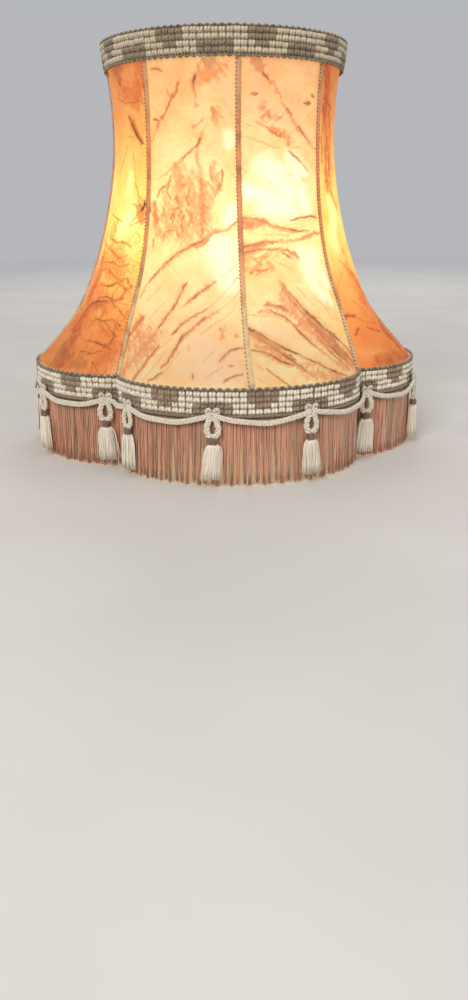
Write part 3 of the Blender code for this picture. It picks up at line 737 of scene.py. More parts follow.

# Marks seen on the skin, by kind and panel. Each is a line of places, written one after the
# other as across, up the panel, half width, in millimetres from the foot of the panel's middle.
# The places were picked in the reference and turned into millimetres through the fitted camera.
# A separate program turned them into these millimetres through the fitted camera and wrote the
# table.
MARKS = {
    # Painted hot spots of the lamp shining through the skin.
    "clear": {
        0: (
            (25, 107.9, 23.92, 34.3, 85.2, 14.59),
            (30.8, 136, 10.52, 29.3, 129.7, 8.61),
            (28, 188.2, 7.89, 28.1, 183.1, 6.46),
        ),
        1: (
            (-14.2, 166.7, 18.66, 3.2, 148.9, 18.66),
            (-30.8, 150.2, 11.48, -10.3, 146.1, 14.35),
            (22.3, 101.4, 14, 21.8, 87.5, 10.63),
            (2.3, 138.8, 18.18, -18.3, 139.1, 12.73),
            (14.5, 151.3, 15, 20, 138.2, 12),
            (10.9, 105.6, 10.61, 15.4, 94.9, 14.37, 17, 84.1, 13.67, 26.7, 69.3, 9.06),
            (-17.7, 168.1, 15, 11, 161.3, 13.5),
            (5.8, 174, 10.5, 18.2, 165.6, 10.5),
            (31.3, 73.7, 6.91, 35.8, 63.6, 6),
            (30.4, 86.4, 11.41, 33.8, 79.8, 9.84),
        ),
        2: (
            (-12.7, 133, 13.7, -24.4, 116.2, 8.52),
            (-20, 144.2, 6.78, -18.3, 127.3, 5.53, -21.3, 108.7, 7.67),
            (-49.8, 14, 10.05, -27.7, 12.9, 9.21),
        ),
        7: (
            (19.7, 132.5, 18.18, 8.5, 122.9, 13.39),
            (12.1, 149.7, 8.61, 14.4, 163.5, 5.02),
            (51.6, 7.1, 8.2, 56, 1.1, 5.74),
        ),
    },
    "peach": {
        0: (
            (20.1, 34.2, 21.46, 37.9, 12.9, 26.85),
            (26.5, 222.4, 4.5, 29, 213.3, 6, 27.5, 204.2, 4.5),
            (24, 18, 10.35, 11.6, 12.2, 8.89),
        ),
        1: (
            (-33.6, 52.8, 8.42, -16, 35.3, 6.41),
            (3.6, 210.3, 4.5, 15.1, 198.8, 6, 23.7, 189.8, 4.5),
            (-22.3, 219.9, 6.75, -20.6, 213.5, 6),
            (-17.5, 209.8, 6.75, -6.3, 203.4, 9, 0.6, 198.3, 6),
            (-26.6, 221, 3, -28.7, 214.6, 3, -24.8, 208.2, 3),
        ),
        2: (
            (-52.1, 6.4, 12.18, -55.7, 2.1, 5.98),
        ),
    },
    "stain": {
        0: (
            (17.1, 233.6, 5.25, 11.9, 228.8, 6, 21.8, 229.9, 5.25),
            (19.2, 201, 4.12, 16.9, 204.2, 3),
            (-9.9, 164.8, 6, -8.1, 157.3, 6.75, -6.4, 147.2, 7.5, -9.3, 137.4, 8.25,
             -7.4, 125.9, 8.25, -2, 117.1, 6),
            (-0.4, 160, 6, 2.1, 149.9, 7.5, 3.3, 138.8, 7.5, 3.7, 124.5, 7.5),
            (10.4, 155.6, 5.25, 12.1, 141.5, 6, 11.4, 125.9, 6),
            (-19.8, 147.5, 5.25, -19.8, 134.4, 6, -15.6, 121.5, 5.25),
            (19.7, 159.7, 3.75, 19.9, 151.3, 3.75, 17.4, 142.9, 3),
            (-23.2, 40.9, 10.27, -27.2, 29.6, 10.18, -39.3, 19.1, 9.77, -51.9, 6.1, 7.44),
            (-35.7, 41.6, 8.32, -46.7, 29.3, 6.78),
            (32.8, 49.9, 2.78, 32.2, 44.9, 2.55),
            (-26.9, 127.3, 4.5, -24.8, 119.8, 4.5),
        ),
        1: (
            (-13.5, 204.4, 5.25, -8.6, 200.7, 4.5, -2.9, 202.3, 3.75),
            (-9.3, 194, 2.25, -2.9, 190, 3.75, 2.4, 187.6, 3.75, 5, 184.9, 2.25),
            (-39.4, 100.3, 2.7, -29.8, 99.4, 3.46, -20, 102.3, 3.05),
            (-35.6, 92.9, 3.05, -26.3, 93.2, 3.85, -18.1, 95.5, 3.22),
            (-45.9, 35.7, 2.6, -37.7, 31, 3.14, -29, 21.7, 3.58),
            (-12.1, 9.7, 7.78, -0.1, 3.6, 7.42, 16.7, 0, 5.25),
            (-13.4, 70.5, 4.05, -5.7, 59.7, 4.88, 3.7, 47.6, 7.07, 15.4, 32.8, 7.25,
             32.7, 13.7, 7.94),
        ),
        2: (
            (-27.5, 242, 7.89, -17.5, 211.4, 8.61, -12.6, 177.5, 8.61, -12.3, 158.6, 5.59),
            (24.4, 63.9, 5.97, 30.2, 44.6, 6.08),
            (-11, 91.8, 4.85, -7, 78, 9.64, -2.2, 62.1, 13.75),
        ),
        7: (
            (6, 221.3, 7.89, 25.3, 217.5, 5.02),
            (-39.9, 101.4, 8.72, -20.6, 73.1, 19.13, -15.1, 51.2, 19.13),
            (31.7, 234.7, 6.46, 21.1, 212.7, 5.74),
            (43.6, 23.1, 8.09, 42.5, 7.9, 9.94),
            (-0.8, 123.7, 5.34, -5.8, 117.3, 6.43),
            (-14.4, 101.1, 8.99, 5.7, 89.2, 7.95, 10.4, 97.5, 7.49),
            (-5.5, 73.7, 9.29, 18.6, 62.1, 7.6),
            (-1.8, 109.6, 5.95, 18.2, 97.7, 6.61, 19.5, 83.5, 7.85),
        ),
    },
    # Painted shade under the top braid and near the foot.
    "smoke": {
        0: (
            (15.2, 238.5, 5.02, 14.4, 236.1, 4.3),
        ),
        1: (
            (-24.9, 240.4, 7.89, -21.5, 233.9, 5.74),
            (-38.8, 40.9, 2.16, -30.8, 33.5, 2.46, -23.3, 23.1, 2.57),
        ),
        7: (
            (-13.8, 20.9, 9.57, -10.3, 2.5, 9.57),
            (-10, 237.4, 6.34, 5.4, 238.2, 5.25),
            (-9.3, 15.1, 10, 22.7, 7.9, 8.03),
        ),
    },
    "band": {
        0: (
            (8.7, 235.8, 1.95, 6.6, 230.1, 2.44, 3.8, 225.3, 3.12, 3.2, 219.4, 2.15,
             4.9, 213.5, 1.56, 5.2, 208.4, 1.17),
            (-6.6, 227.5, 1.17, -9.4, 221.3, 1.56, -13.4, 215.1, 2.15, -15.7, 210.3, 2.34,
             -19.1, 205.2, 1.75, -23.2, 200.2, 1.95, -26.6, 195.6, 2.92, -28, 192.2, 1.56,
             -32.5, 184.9, 1.17),
            (9.5, 199.6, 1.75, 5.9, 196.4, 1.95, 2.3, 193.8, 2.15),
            (1.1, 179.3, 1.46, -3.8, 175, 1.66, -8.9, 171, 1.95, -15.5, 165.9, 1.75,
             -20.7, 162.9, 1.17),
            (7.5, 188.4, 2.15, 5.6, 180.4, 2.34, 5.8, 172.1, 2.44, 7.5, 164.6, 3.12, 8.1, 157, 4.49,
             7.9, 147.2, 5.46, 8.6, 137.1, 5.26, 9, 127.3, 5.46, 8.8, 118.7, 5.66),
            (17.4, 169.9, 2.54, 16.1, 163.7, 2.92, 16.8, 157.5, 3.71, 16.9, 151.3, 3.12,
             15.1, 144.2, 2.54),
            (-30.7, 141, 4.68, -30.2, 134.4, 4.88, -28.6, 128.6, 3.31),
            (24.9, 122.3, 1.56, 18.2, 120.9, 3.12, 12.4, 116.5, 4.49, 7.5, 113.2, 4.09,
             2.2, 111.2, 3.12, -3.9, 107.6, 2.73, -11, 103.1, 2.94, -17.7, 98, 2.78,
             -23.8, 92.9, 1.98, -30, 86.6, 1.71, -35.2, 79.5, 1.72, -40.3, 71.6, 1.65),
            (-0.9, 81.8, 1.8, -3.4, 76.3, 2.63, -6, 70.2, 1.87, -11.3, 60, 1.94, -16.3, 50.9, 2.19,
             -22.3, 41.2, 1.94, -32.4, 28.2, 1.32),
            (22.4, 84.9, 1.59, 16.5, 80.6, 2.83, 11.3, 76.3, 2.24, 5.7, 71.6, 1.85,
             0.9, 66.3, 1.46),
            (26.8, 63.3, 1.8, 21.4, 59.7, 2.54, 17, 56.9, 2.73, 12.6, 52.5, 2.17, 6.7, 46.3, 2.34,
             3.7, 40.2, 1.72, -0.1, 30.3, 1.77, -4.7, 20.6, 1.47, -9.5, 14.7, 1.27),
            (-32.4, 56.9, 1.76, -35.9, 54.7, 4.67, -39.3, 50.6, 5.7, -44.2, 43.3, 5.7,
             -48.7, 35.3, 4.18, -52.9, 28.2, 2.27),
            (-15.3, 33.5, 1.55, -20.1, 24.2, 2.29, -25.8, 13.7, 2.57, -33.4, 2.1, 2.19),
        ),
        1: (
            (-23.3, 237.7, 4.39, -20, 232.8, 2.92, -16.8, 229.1, 1.95, -13.3, 226.1, 1.66,
             -8.5, 222.1, 1.75, -4.3, 217, 1.46, -0.7, 210.6, 1.56, 4, 206, 2.15, 9.3, 199.4, 2.34,
             13.7, 194, 2.73, 18.3, 190.3, 2.34, 25.4, 184.7, 2.54, 32.1, 181.2, 1.75),
            (-37.5, 127.3, 6.45, -31.2, 127, 6.45, -25.2, 127.6, 5.85, -20.3, 128.4, 3.3,
             -16.6, 126.7, 1.36),
            (-16.6, 126.2, 1.56, -6.1, 123.7, 2.15, 7.3, 121.2, 1.75),
            (11.5, 114.8, 1.27, 19.8, 117.6, 2.42, 33.4, 119.3, 1.76),
            (-38.4, 111, 4.93, -31.9, 110.4, 4.29, -25.6, 111.2, 3.92, -20.8, 112.9, 3.51,
             -14.9, 114.3, 2.54, -7, 114.6, 2.34, 1.6, 114.8, 2.15, 10.6, 115.4, 1.56),
            (-39.3, 105.9, 4.51, -33.3, 106.2, 3.91, -27.1, 107.3, 3.16, -20.7, 108.2, 2.55,
             -11.7, 108.4, 2.58, -4.1, 107.3, 3.17, 1.9, 105.4, 3.37, 6.1, 101.7, 2.58),
            (-13, 83.2, 2.45, -11.7, 77.2, 4.13, -8.7, 71.6, 4.6, -3.5, 64.5, 5.47, 1.8, 56.9, 6.32,
             9, 47.9, 7.77, 18.2, 36.4, 9.66, 30.3, 23.5, 9.62, 42.8, 8.9, 9.99, 57.1, 0.4, 7.15),
            (-26.9, 67.5, 3.02, -21.2, 65.4, 3.18, -14.5, 62.7, 3.92, -8.7, 59.1, 3.9,
             -2.2, 53.1, 5.1, 4.3, 43.9, 4.72, 11.2, 34.2, 4.96, 21.7, 24.6, 5.4, 34.5, 13.3, 5.87),
            (-35, 62.4, 1.74, -28.1, 62.4, 2.15, -22.6, 60, 2.83, -16.1, 56.6, 2.92,
             -10.6, 52.2, 2.83, -6.8, 44.9, 2.39, -1.8, 37.8, 2.84, 4.6, 28.9, 2.42,
             14.2, 18.4, 2.49, 27.5, 5.3, 3.27),
            (-47.1, 44.9, 4.91, -42.4, 41.2, 5.2, -37.4, 36.4, 5.32, -32.1, 31.4, 5.3,
             -27.1, 26.4, 5.07, -22.6, 21.3, 5, -19.5, 16.6, 3.7, -17.4, 11.8, 2.2),
            (-48.9, 30.7, 1.61, -43.3, 28.2, 2.29, -37.1, 24.6, 3.3, -30.9, 20.2, 3.16,
             -24.1, 15.8, 2.15),
        ),
        2: (
            (-32.2, 238.5, 3, -25.3, 225.6, 3.75, -26.2, 213, 3.38, -22.6, 200.7, 4.5,
             -21.8, 186.5, 4.5, -22.3, 173.7, 4.12, -21.8, 160.5, 3.45),
            (-8.1, 94.9, 2.52, -3.1, 81.2, 5.6, 6.7, 68.4, 7.5, 25.9, 53.1, 8.75),
            (-22.8, 167.8, 4.5, -20.5, 157.5, 4.5, -19.9, 151.6, 3),
        ),
        7: (
            (-29.9, 113.5, 2.5, -0.2, 106.5, 2.14, -2.3, 96.9, 2.46, 16.7, 89.8, 1.82),
            (-2.3, 65.7, 3.2, 15.8, 58.4, 2.91, 16.2, 46, 3.13, 35.3, 36.7, 2.8),
        ),
    },
    "rust": {
        0: (
            (-8.2, 224.2, 0.75, -11.6, 218.1, 1.2, -15.2, 211.7, 1.35, -19.6, 204.7, 0.98,
             -23.7, 199.4, 1.12, -26, 195.4, 1.05),
            (16.5, 205.5, 1.95, 16.9, 202.8, 1.65),
            (7.9, 158.3, 1.65, 8.6, 147.2, 2.1, 9.3, 140.1, 1.8, 10.5, 128.6, 1.95,
             9.6, 118.7, 2.4),
            (22, 154.8, 1.8, 21.4, 152.1, 1.65),
            (-7.4, 155.1, 2.4, -5, 155.6, 1.95),
            (-10.5, 146.7, 2.55, -8.7, 142.3, 2.55),
            (-18.3, 150.2, 1.2, -15.6, 145.9, 1.12),
            (-0.2, 151.6, 1.65, -2.4, 145.9, 1.12, -0.7, 140.1, 1.12),
            (-16.4, 157.3, 1.12, -18.2, 152.4, 1.5),
            (-31.2, 141.8, 2.7, -30.1, 135.2, 3.45, -28.1, 127.8, 2.25),
            (-20.8, 141.8, 1.05, -22.5, 134.4, 1.05),
            (1.2, 134.4, 1.2, 0.6, 128.6, 1.35),
            (-30.8, 111.5, 1.2, -32.2, 107.9, 0.9),
            (13.5, 115.1, 2.4, 8.3, 113.5, 2.55, 3, 111.2, 1.65),
            (-34.8, 55.6, 3.06, -38.6, 51.5, 3.31, -43.4, 46, 3.06, -48.3, 37.1, 2.14),
            (9, 147.2, 3, 10.1, 137.1, 3.3, 10.5, 127.3, 3),
        ),
        1: (
            (-24.9, 215.7, 1.2, -21.3, 216.2, 1.35),
            (-11.8, 203.6, 2.1, -10.9, 201.2, 1.8),
            (-2.7, 189.5, 1.12, 1.5, 187.9, 0.98),
            (-37.5, 127.3, 4.8, -31.3, 126.7, 4.8, -25, 127.8, 4.35, -20, 128.9, 2.55),
            (-37.8, 110.7, 1.8, -31.1, 110.1, 1.97, -24.2, 111.2, 1.96, -18.4, 113.5, 1.65,
             -10.9, 114.6, 0.98),
            (-38.6, 105.4, 2.1, -32.5, 105.9, 1.83, -26.2, 107.6, 1.21),
            (-6.8, 107.9, 1.2, -1.6, 106.5, 1.5, 3.5, 103.7, 1.68, 6.1, 101.4, 1.07),
            (-35.7, 92, 0.98, -29.6, 92.6, 1.08, -20.8, 93.2, 0.94),
            (-12.1, 79.5, 1.42, -7.8, 71.6, 1.98, -1.9, 63.6, 2.53, 4.7, 54.1, 2.8,
             13.2, 44.9, 3.77, 22.2, 33.9, 3.35, 34.8, 21.7, 3.42, 47.1, 8.9, 3.75),
            (-27.5, 67.8, 1.65, -25.6, 66.3, 2, -20.5, 64.8, 1.2, -12.9, 61.8, 1.21),
            (-46.2, 45.6, 1.65, -40.3, 40.9, 2.18, -34.6, 35.3, 2.46, -29, 29.6, 2.48,
             -23.3, 23.1, 2.38, -20.1, 17.3, 1.82),
            (5.1, 51.5, 1.63, 11.8, 40.5, 2.31, 21.1, 28.5, 2.76, 34.1, 15.1, 2.71),
        ),
        2: (
            (-28.4, 239.8, 2.87, -19.3, 223.2, 3.59, -23.8, 208.2, 3.16, -18, 191.1, 2.44,
             -13.5, 163.5, 2.58),
            (-44.1, 51.2, 1.94, -30.7, 51.5, 1.81),
            (22.6, 74, 4.54, 28.3, 49.6, 6.67, 10.1, 29.6, 7.57, 13.7, 10.4, 7.57),
            (-34.8, 5.7, 9.09, -7.5, 5, 9.09, 19.8, 0, 6.06),
            (-21.8, 184.1, 2.15, -21.1, 166.7, 2.44),
            (-31.5, 235.8, 1.8, -24.4, 225.6, 2.1, -26, 217.3, 1.2),
            (-27.9, 211.4, 1.65, -24.4, 200.7, 2.4, -28, 187.9, 2.1, -27.5, 173.4, 1.8),
            (-15.1, 208.4, 1.35, -8.8, 196.2, 1.8, -12.8, 181.5, 1.95, -15.3, 168.1, 2.25,
             -18.9, 160.8, 1.98),
            (-6.8, 88.3, 1.42, 3.2, 75.7, 2.5, 24.2, 60.9, 3.25, 20.1, 47.9, 3.25),
            (-44.3, 51.5, 2.71, -37.5, 52.2, 2.66, -31.5, 50.6, 1.8),
            (-21, 166.4, 2.55, -20.5, 157.5, 2.55, -17.8, 151.8, 1.68),
        ),
        7: (
            (-1.6, 235, 5.02, 1.8, 229.3, 4.3),
            (24.7, 213.8, 1.43, 31.9, 211.9, 1.87),
            (15.8, 199.9, 2.58, 19, 193.2, 3.59, 24.8, 187.6, 1.43),
            (27.2, 139.1, 3.25, 30.8, 133.6, 2.49),
            (14.2, 65.1, 3.66, -8, 57.8, 6.78, -15.1, 42.6, 6.38, -4.2, 25.3, 9.57),
            (-19.4, 104.8, 5.56, -13.9, 84.4, 6.63, -19.7, 66.6, 6.38),
            (-3.3, 15.1, 12.76, 1.7, 0, 5.74),
            (29.8, 70.5, 1.8, 32.3, 76.9, 1.33),
            (28.8, 134.4, 4.5, 31.6, 130, 3.75),
            (9.9, 204.4, 2.25, 16.3, 197, 4.5, 21.2, 190.6, 3, 27.2, 185.2, 1.8),
            (0.6, 104.8, 1.49, 11.7, 100.6, 1.31, 21.2, 102.5, 1.11),
            (-13.3, 88.1, 1.86, 0.7, 92, 1.64, 12.9, 86.4, 1.38),
            (22.7, 82.1, 1.35, 29, 85.5, 1.31, 35.4, 78, 1),
        ),
    },
    "faint": {
        0: (
            (-3.1, 220.2, 0.6, -6, 215.9, 0.83, -7.9, 211.9, 0.6),
            (-24.8, 233.6, 0.68, -25.2, 229.1, 0.83),
            (12.2, 197, 0.9, 10.2, 193, 0.75, 8.6, 189.5, 0.98),
            (-20.7, 162.9, 0.9, -29, 160, 0.75, -34, 159.2, 0.6),
            (-26.7, 120.7, 0.75, -25.1, 125.6, 0.75, -20.4, 129.5, 0.68),
            (-10.2, 117.1, 1.05, -10.8, 111.2, 0.9, -13.8, 105.9, 0.83),
            (-3.9, 121.5, 0.9, -4.4, 114.8, 0.98, -7.4, 109, 0.83),
            (40.3, 99.7, 0.91, 34.1, 94.6, 0.99, 29.5, 90.9, 1.14, 26.5, 88.3, 0.76),
            (40.2, 90.1, 0.92, 32.4, 79.8, 0.85, 25.5, 71.6, 1.1, 18.6, 65.7, 1.12),
            (41.4, 78.3, 0.85, 35.9, 70.2, 0.95, 29.4, 65.4, 0.98, 26.3, 63.6, 0.9),
            (39.7, 66.3, 1.05, 34.1, 60, 1.15, 28.6, 55.3, 0.98, 22.9, 50.9, 1.07,
             16.8, 44.9, 1.01),
            (-6, 40.2, 1.03, -11.8, 33.5, 1.02, -16.9, 27.5, 0.97),
            (-24.3, 36.4, 1.14, -31.1, 27.5, 1.19, -41.1, 16.2, 1.49, -48.6, 8.6, 1.17),
            (-9.1, 28.2, 0.86, -13, 18.8, 1.04, -18.2, 9.7, 1.22, -22.9, 2.1, 0.94),
            (3.4, 28.9, 0.85, -1.3, 19.8, 0.88, -6.4, 10, 0.98, -9.7, 3.6, 0.87),
            (28.1, 30, 0.84, 24.7, 24.9, 0.95, 22.6, 20.6, 0.86),
            (37.1, 16.6, 0.88, 31.2, 11.5, 1.04, 27, 7.1, 0.88),
            (8.4, 35.3, 1.69, 10.6, 31, 1.89),
            (-16.1, 69, 0.96, -20.7, 63.3, 1.06, -27.2, 55.6, 0.9),
            (-20.5, 81.8, 0.77, -26.1, 75.4, 0.86, -32.3, 69, 0.8),
        ),
        1: (
            (23, 232.8, 0.75, 23.2, 229.9, 0.75),
            (0.4, 233.1, 0.75, 1.5, 231.2, 0.75),
            (-33, 198.3, 0.9, -27.6, 196.4, 0.98, -21.7, 193.8, 0.9),
            (-33, 188.7, 0.9, -25, 187.1, 1.05, -17.4, 184.7, 1.12, -11.5, 182.5, 0.98,
             -5.2, 180.7, 0.9, 0.6, 180.4, 0.75),
            (6.5, 180.1, 0.83, 9.6, 181.2, 0.98, 15, 181.2, 0.83),
            (0.2, 165.6, 0.98, 3.8, 162.7, 1.95, 8, 163.5, 1.35),
            (-19.7, 168.3, 0.68, -17.2, 164.6, 0.83),
            (-12.3, 158.6, 0.75, -12, 156.2, 0.75, -9.1, 154, 0.68, -4.7, 151.8, 0.68),
            (16.7, 160.8, 0.83, 19.1, 158.6, 1.35, 21.2, 156.5, 0.75),
            (-33.5, 166.4, 0.75, -29.7, 162.7, 0.75),
            (-13.3, 127.3, 0.6, -3.7, 128.9, 0.75, 4.6, 130.3, 0.75),
            (-10.4, 124, 0.6, 0.4, 126.7, 0.75, 9.2, 127.3, 0.68),
            (-31.4, 119.8, 0.9, -22.3, 118.5, 1.05, -10.9, 120.4, 0.9, 1.2, 118.7, 0.9),
            (-15.7, 99.2, 0.92, -7, 95.7, 0.93, 2.2, 91.8, 0.77),
            (-45.1, 60.9, 1.02, -36.6, 59.4, 1.19, -29, 58.8, 1.07, -22.3, 57.2, 1.13,
             -14.5, 53.1, 1),
            (-51.6, 19.5, 1.45, -49.9, 16.6, 1.99, -47.7, 14, 1.31),
            (-55.3, 7.9, 1.09, -52.6, 4.3, 1.16),
            (-0.6, 79.8, 0.78, 6.9, 71.6, 0.89, 13.1, 63.9, 0.83),
            (19.1, 68.4, 1.08, 26.4, 61.2, 1.23, 32.6, 52.2, 1.06),
            (10.6, 56, 1.07, 18.4, 52.8, 1.03, 26.1, 46, 0.97),
        ),
        2: (
            (-25.3, 64.2, 1.54, -15.8, 58.1, 1.93, -9.3, 51.8, 1.75),
            (-30.1, 48.6, 1.36, -19.8, 43.3, 1.75, -3.4, 40.2, 1.5),
            (-12.6, 95.2, 1.36, -28.9, 84.6, 1.29, -40, 72.2, 1.21),
        ),
    },
    "line": {
        0: (
            (-18.1, 219.7, 0.52, -16.5, 217.5, 0.68, -15.5, 215.7, 0.52),
            (-30, 234.4, 0.68, -24.9, 234.7, 1.05, -20.6, 232.6, 0.68),
            (-29.6, 200.2, 0.98, -26, 199.6, 1.05),
            (7.2, 186.5, 1.12, 4.7, 181.7, 0.75, 1.1, 179.3, 0.6),
            (0.7, 179.1, 0.68, -2.7, 176.1, 0.9, -6.5, 173.2, 0.6),
            (14.9, 167.3, 0.6, 14.7, 162.4, 0.68, 16.2, 158.3, 0.6),
            (22.8, 164.6, 0.6, 23.9, 161.1, 0.83, 23.4, 157, 0.68),
            (-15.6, 161.6, 0.68, -18.1, 155.1, 0.83, -25.5, 151.8, 0.68, -28.3, 146.7, 0.75),
            (-12.8, 137.4, 0.75, -9.5, 139.6, 0.98, -6.9, 136.6, 0.75, -9.2, 133, 0.6),
            (-15.6, 131.7, 0.9, -12.7, 135, 0.75, -14.2, 127.3, 0.6),
            (-6.8, 130.8, 0.6, -4.4, 133.9, 0.75, -7.4, 127.3, 0.83, -5.5, 122.3, 0.6),
            (-2.3, 138, 0.6, 0.4, 133, 0.83, -1, 125.9, 0.6),
            (-21.7, 115.4, 0.75, -19.8, 120.4, 0.98, -15.8, 122.6, 0.9, -11, 122.6, 0.68,
             -8.6, 118.5, 0.6),
            (-30.6, 116.8, 0.6, -31.9, 110.7, 0.75),
            (37.2, 130.3, 0.68, 34, 127.3, 0.9, 31.6, 125.1, 0.83, 27.7, 121.8, 0.98,
             24.8, 120.9, 0.75, 20.4, 120.4, 1.05, 16.9, 119, 0.9, 13.4, 116.8, 1.2),
            (13.4, 116.8, 1.05, 6.7, 113.5, 1.12, 1.4, 111, 1.2, -3.1, 108.4, 1.05,
             -9.5, 104.5, 1.13, -14.4, 101.1, 1.37, -19.1, 97.2, 0.99, -24.7, 92.6, 0.76,
             -29, 87.8, 0.84, -31.8, 84.4, 0.62),
            (1.1, 83.5, 0.75, -1.4, 79.5, 1.31, -3, 76.3, 1.55, -4.6, 72.5, 1.18, -6.3, 68.7, 0.88,
             -9.3, 62.7, 1.15, -11.4, 59.1, 0.9, -15.5, 52.2, 1.13, -18.6, 47.9, 0.7),
            (21.8, 84.6, 0.69, 16.9, 80.9, 0.92, 12, 77.2, 0.94, 6.9, 72.5, 0.83, 3, 69, 0.64),
            (18.6, 65.7, 0.68, 13.1, 61.8, 0.83, 8.2, 58.1, 0.92, 3.9, 54.7, 1.12, -0.3, 50.9, 1.15,
             -3.2, 46.3, 1.09, -5.6, 42.9, 0.65),
            (17.9, 57.8, 0.84, 14, 54.1, 0.9, 11.4, 50.9, 0.7, 6.7, 45.6, 1.19, 3.9, 43.3, 1.67,
             1.8, 39.1, 1.16, 0.1, 33.9, 1.26, -1.8, 28.5, 1.45, -4, 22.8, 1.05, -6.5, 17.7, 1.04,
             -9.5, 14.7, 0.71),
            (-51.6, 33.2, 1.25, -53.8, 25.7, 1.3, -56, 17.7, 1.01),
            (-15.5, 31.8, 0.77, -19.6, 26, 0.88, -22.9, 20.9, 1.14, -26.7, 13.3, 1.34,
             -30.4, 6.8, 1.4, -34.5, 1.4, 1.12),
            (-7.5, 10.8, 0.71, -12.2, 5, 0.92, -17.7, 2.1, 0.75),
            (49.8, 32.8, 0.68, 45.7, 32.8, 1.17, 41.2, 31.8, 1, 37.6, 28.5, 1.39, 35.7, 24.2, 1.45,
             33.9, 22, 0.68),
            (51.8, 11.5, 0.94, 48.8, 10.8, 1.13, 45.7, 8.6, 0.83, 42.8, 6.4, 1.06, 41.2, 4.3, 0.69),
            (42.3, 45.6, 0.88, 42.9, 43.9, 1.02),
            (41.6, 18.8, 0.68, 43.7, 18.4, 0.87),
            (16.8, 10.8, 0.9, 17.7, 7.9, 0.98),
        ),
        1: (
            (-18.3, 230.4, 0.75, -15.9, 228, 0.98, -13.1, 225.3, 0.68),
            (2.9, 207.1, 0.68, 5.9, 205, 1.27, 7, 203.6, 0.75),
            (12.2, 195.6, 0.6, 14.7, 194, 1.2, 17.8, 190.8, 0.9, 21.6, 187.6, 0.68),
            (26.8, 217.3, 0.68, 29.1, 216.7, 0.75),
            (-21.7, 197.8, 0.6, -17.9, 196.4, 0.9, -14, 194.8, 0.75, -10.4, 192.7, 0.98,
             -6.8, 191.1, 0.75, -4.8, 189.5, 0.6),
            (4.9, 178.8, 0.6, 7.6, 176.9, 0.9, 10.5, 174.8, 0.68, 14.3, 172.4, 0.75,
             17.8, 170.2, 0.6, 20.9, 167.8, 0.75, 25, 165.1, 0.52),
            (-20.2, 128.9, 1.05, -17.4, 127, 0.98, -13.5, 125.9, 0.9, -5.7, 124.8, 0.98,
             2.7, 123.1, 1.12, 9.5, 121.8, 0.83, 21.4, 120.9, 0.67),
            (3.7, 130, 0.6, 11, 130.6, 0.83, 18.2, 131.4, 0.68, 24.1, 131.9, 1.05,
             32.7, 130.8, 0.9),
            (10.5, 114.8, 0.6, 16.6, 117.1, 1.05, 23.5, 118.2, 1.21, 30.4, 119.6, 0.98,
             36.7, 120.1, 0.75),
            (-31.2, 109, 0.68, -26.7, 110.1, 1.06, -20.9, 111.5, 0.75),
            (-36.1, 107, 0.9, -31.6, 107.6, 1.06, -26.2, 108.2, 0.76, -19, 108.4, 0.68,
             -11.6, 108.7, 0.75),
            (-6.4, 104.8, 0.68, -3.1, 102.8, 0.77, 0.2, 101.1, 0.69),
            (-26.8, 68.7, 0.73, -21.6, 66.6, 0.83, -14.9, 63.6, 0.75),
            (-25.7, 62.7, 0.75, -21.6, 60, 1.2, -16.7, 57.2, 1.06, -12.5, 54.1, 0.95,
             -9, 48.6, 1.07, -5.7, 42.2, 1.01, -1.5, 36, 1.03, 3.5, 28.5, 0.75),
            (7.9, 39.1, 0.9, 12.7, 32.5, 1.22, 19.1, 27.5, 1.33, 25.2, 20.6, 1.57, 32.7, 13.7, 1.36,
             41.5, 5.3, 1.25),
            (9.3, 34.6, 0.64, 16, 23.8, 0.86, 24.9, 12.6, 1.09, 34.1, 3.9, 0.85),
            (-48.8, 31, 0.8, -42.3, 28.9, 1.05, -37.9, 26.4, 0.91, -34.3, 23.8, 1.26,
             -30.4, 19.8, 1.17, -25.8, 17.7, 1.38, -22.2, 16.2, 0.91),
            (-36.8, 33.5, 0.71, -30.8, 28.9, 0.89, -25.1, 23.1, 1.1, -20.7, 18, 1.19,
             -16.2, 12.2, 1.13, -13.6, 8.9, 0.93, -10.8, 5.3, 0.64),
            (-44.5, 14.7, 0.71, -41.8, 10.4, 0.88, -39.3, 7.5, 0.91, -37.2, 3.9, 1.07,
             -34.2, 0, 0.6),
        ),
        2: (
            (-27.5, 215.9, 0.43, -9.2, 212.7, 0.5),
            (-26.3, 207.9, 0.43, -21, 203.1, 0.43),
            (-14.7, 150.5, 0.58, -10.7, 145.6, 0.51),
            (-42.2, 32.8, 1.07, -33.8, 39.1, 0.7),
            (-9.9, 106.2, 0.9, -10, 102.3, 0.78),
            (-21.5, 97.7, 0.54, -0.2, 83.5, 1.06, 22.8, 71.6, 0.55),
            (-21.8, 37.1, 0.76, -5.4, 32.1, 0.91),
            (-26.9, 217, 0.68, -18.4, 213.8, 0.83, -7.4, 210.3, 0.68),
            (-16.2, 158.3, 0.75, -13.6, 151.8, 1.26, -9.6, 145.9, 0.97, -3.4, 138, 0.86),
            (-45.9, 51.2, 1.2, -39, 52.2, 1.64, -31.8, 50.2, 0.97),
        ),
        7: (
            (-8.3, 219.1, 0.34, 6, 214.1, 0.52, 18.8, 213.5, 0.34, 30.3, 215.1, 0.46),
            (6.1, 191.4, 0.34, 16.4, 189.2, 0.3),
            (8.3, 184.4, 0.3, -5.9, 164.3, 0.38),
            (15.5, 178, 0.34, 19.4, 164.8, 0.46, 23.1, 151, 0.34),
            (-2.4, 235.8, 0.52, 8.2, 228.8, 0.34),
            (18.2, 124.8, 0.61, 34.5, 130.6, 0.46),
            (-13.7, 134.1, 0.52, 6.4, 129.5, 0.4),
            (15.4, 30.3, 0.72, 35.2, 27.5, 1.03, 44.7, 23.1, 0.54),
            (33.2, 47.9, 0.82, 39.7, 42.6, 0.62),
            (35.7, 43.3, 0.55, 38, 46, 0.52),
            (32.3, 11.8, 0.6, 46, 0, 0.38),
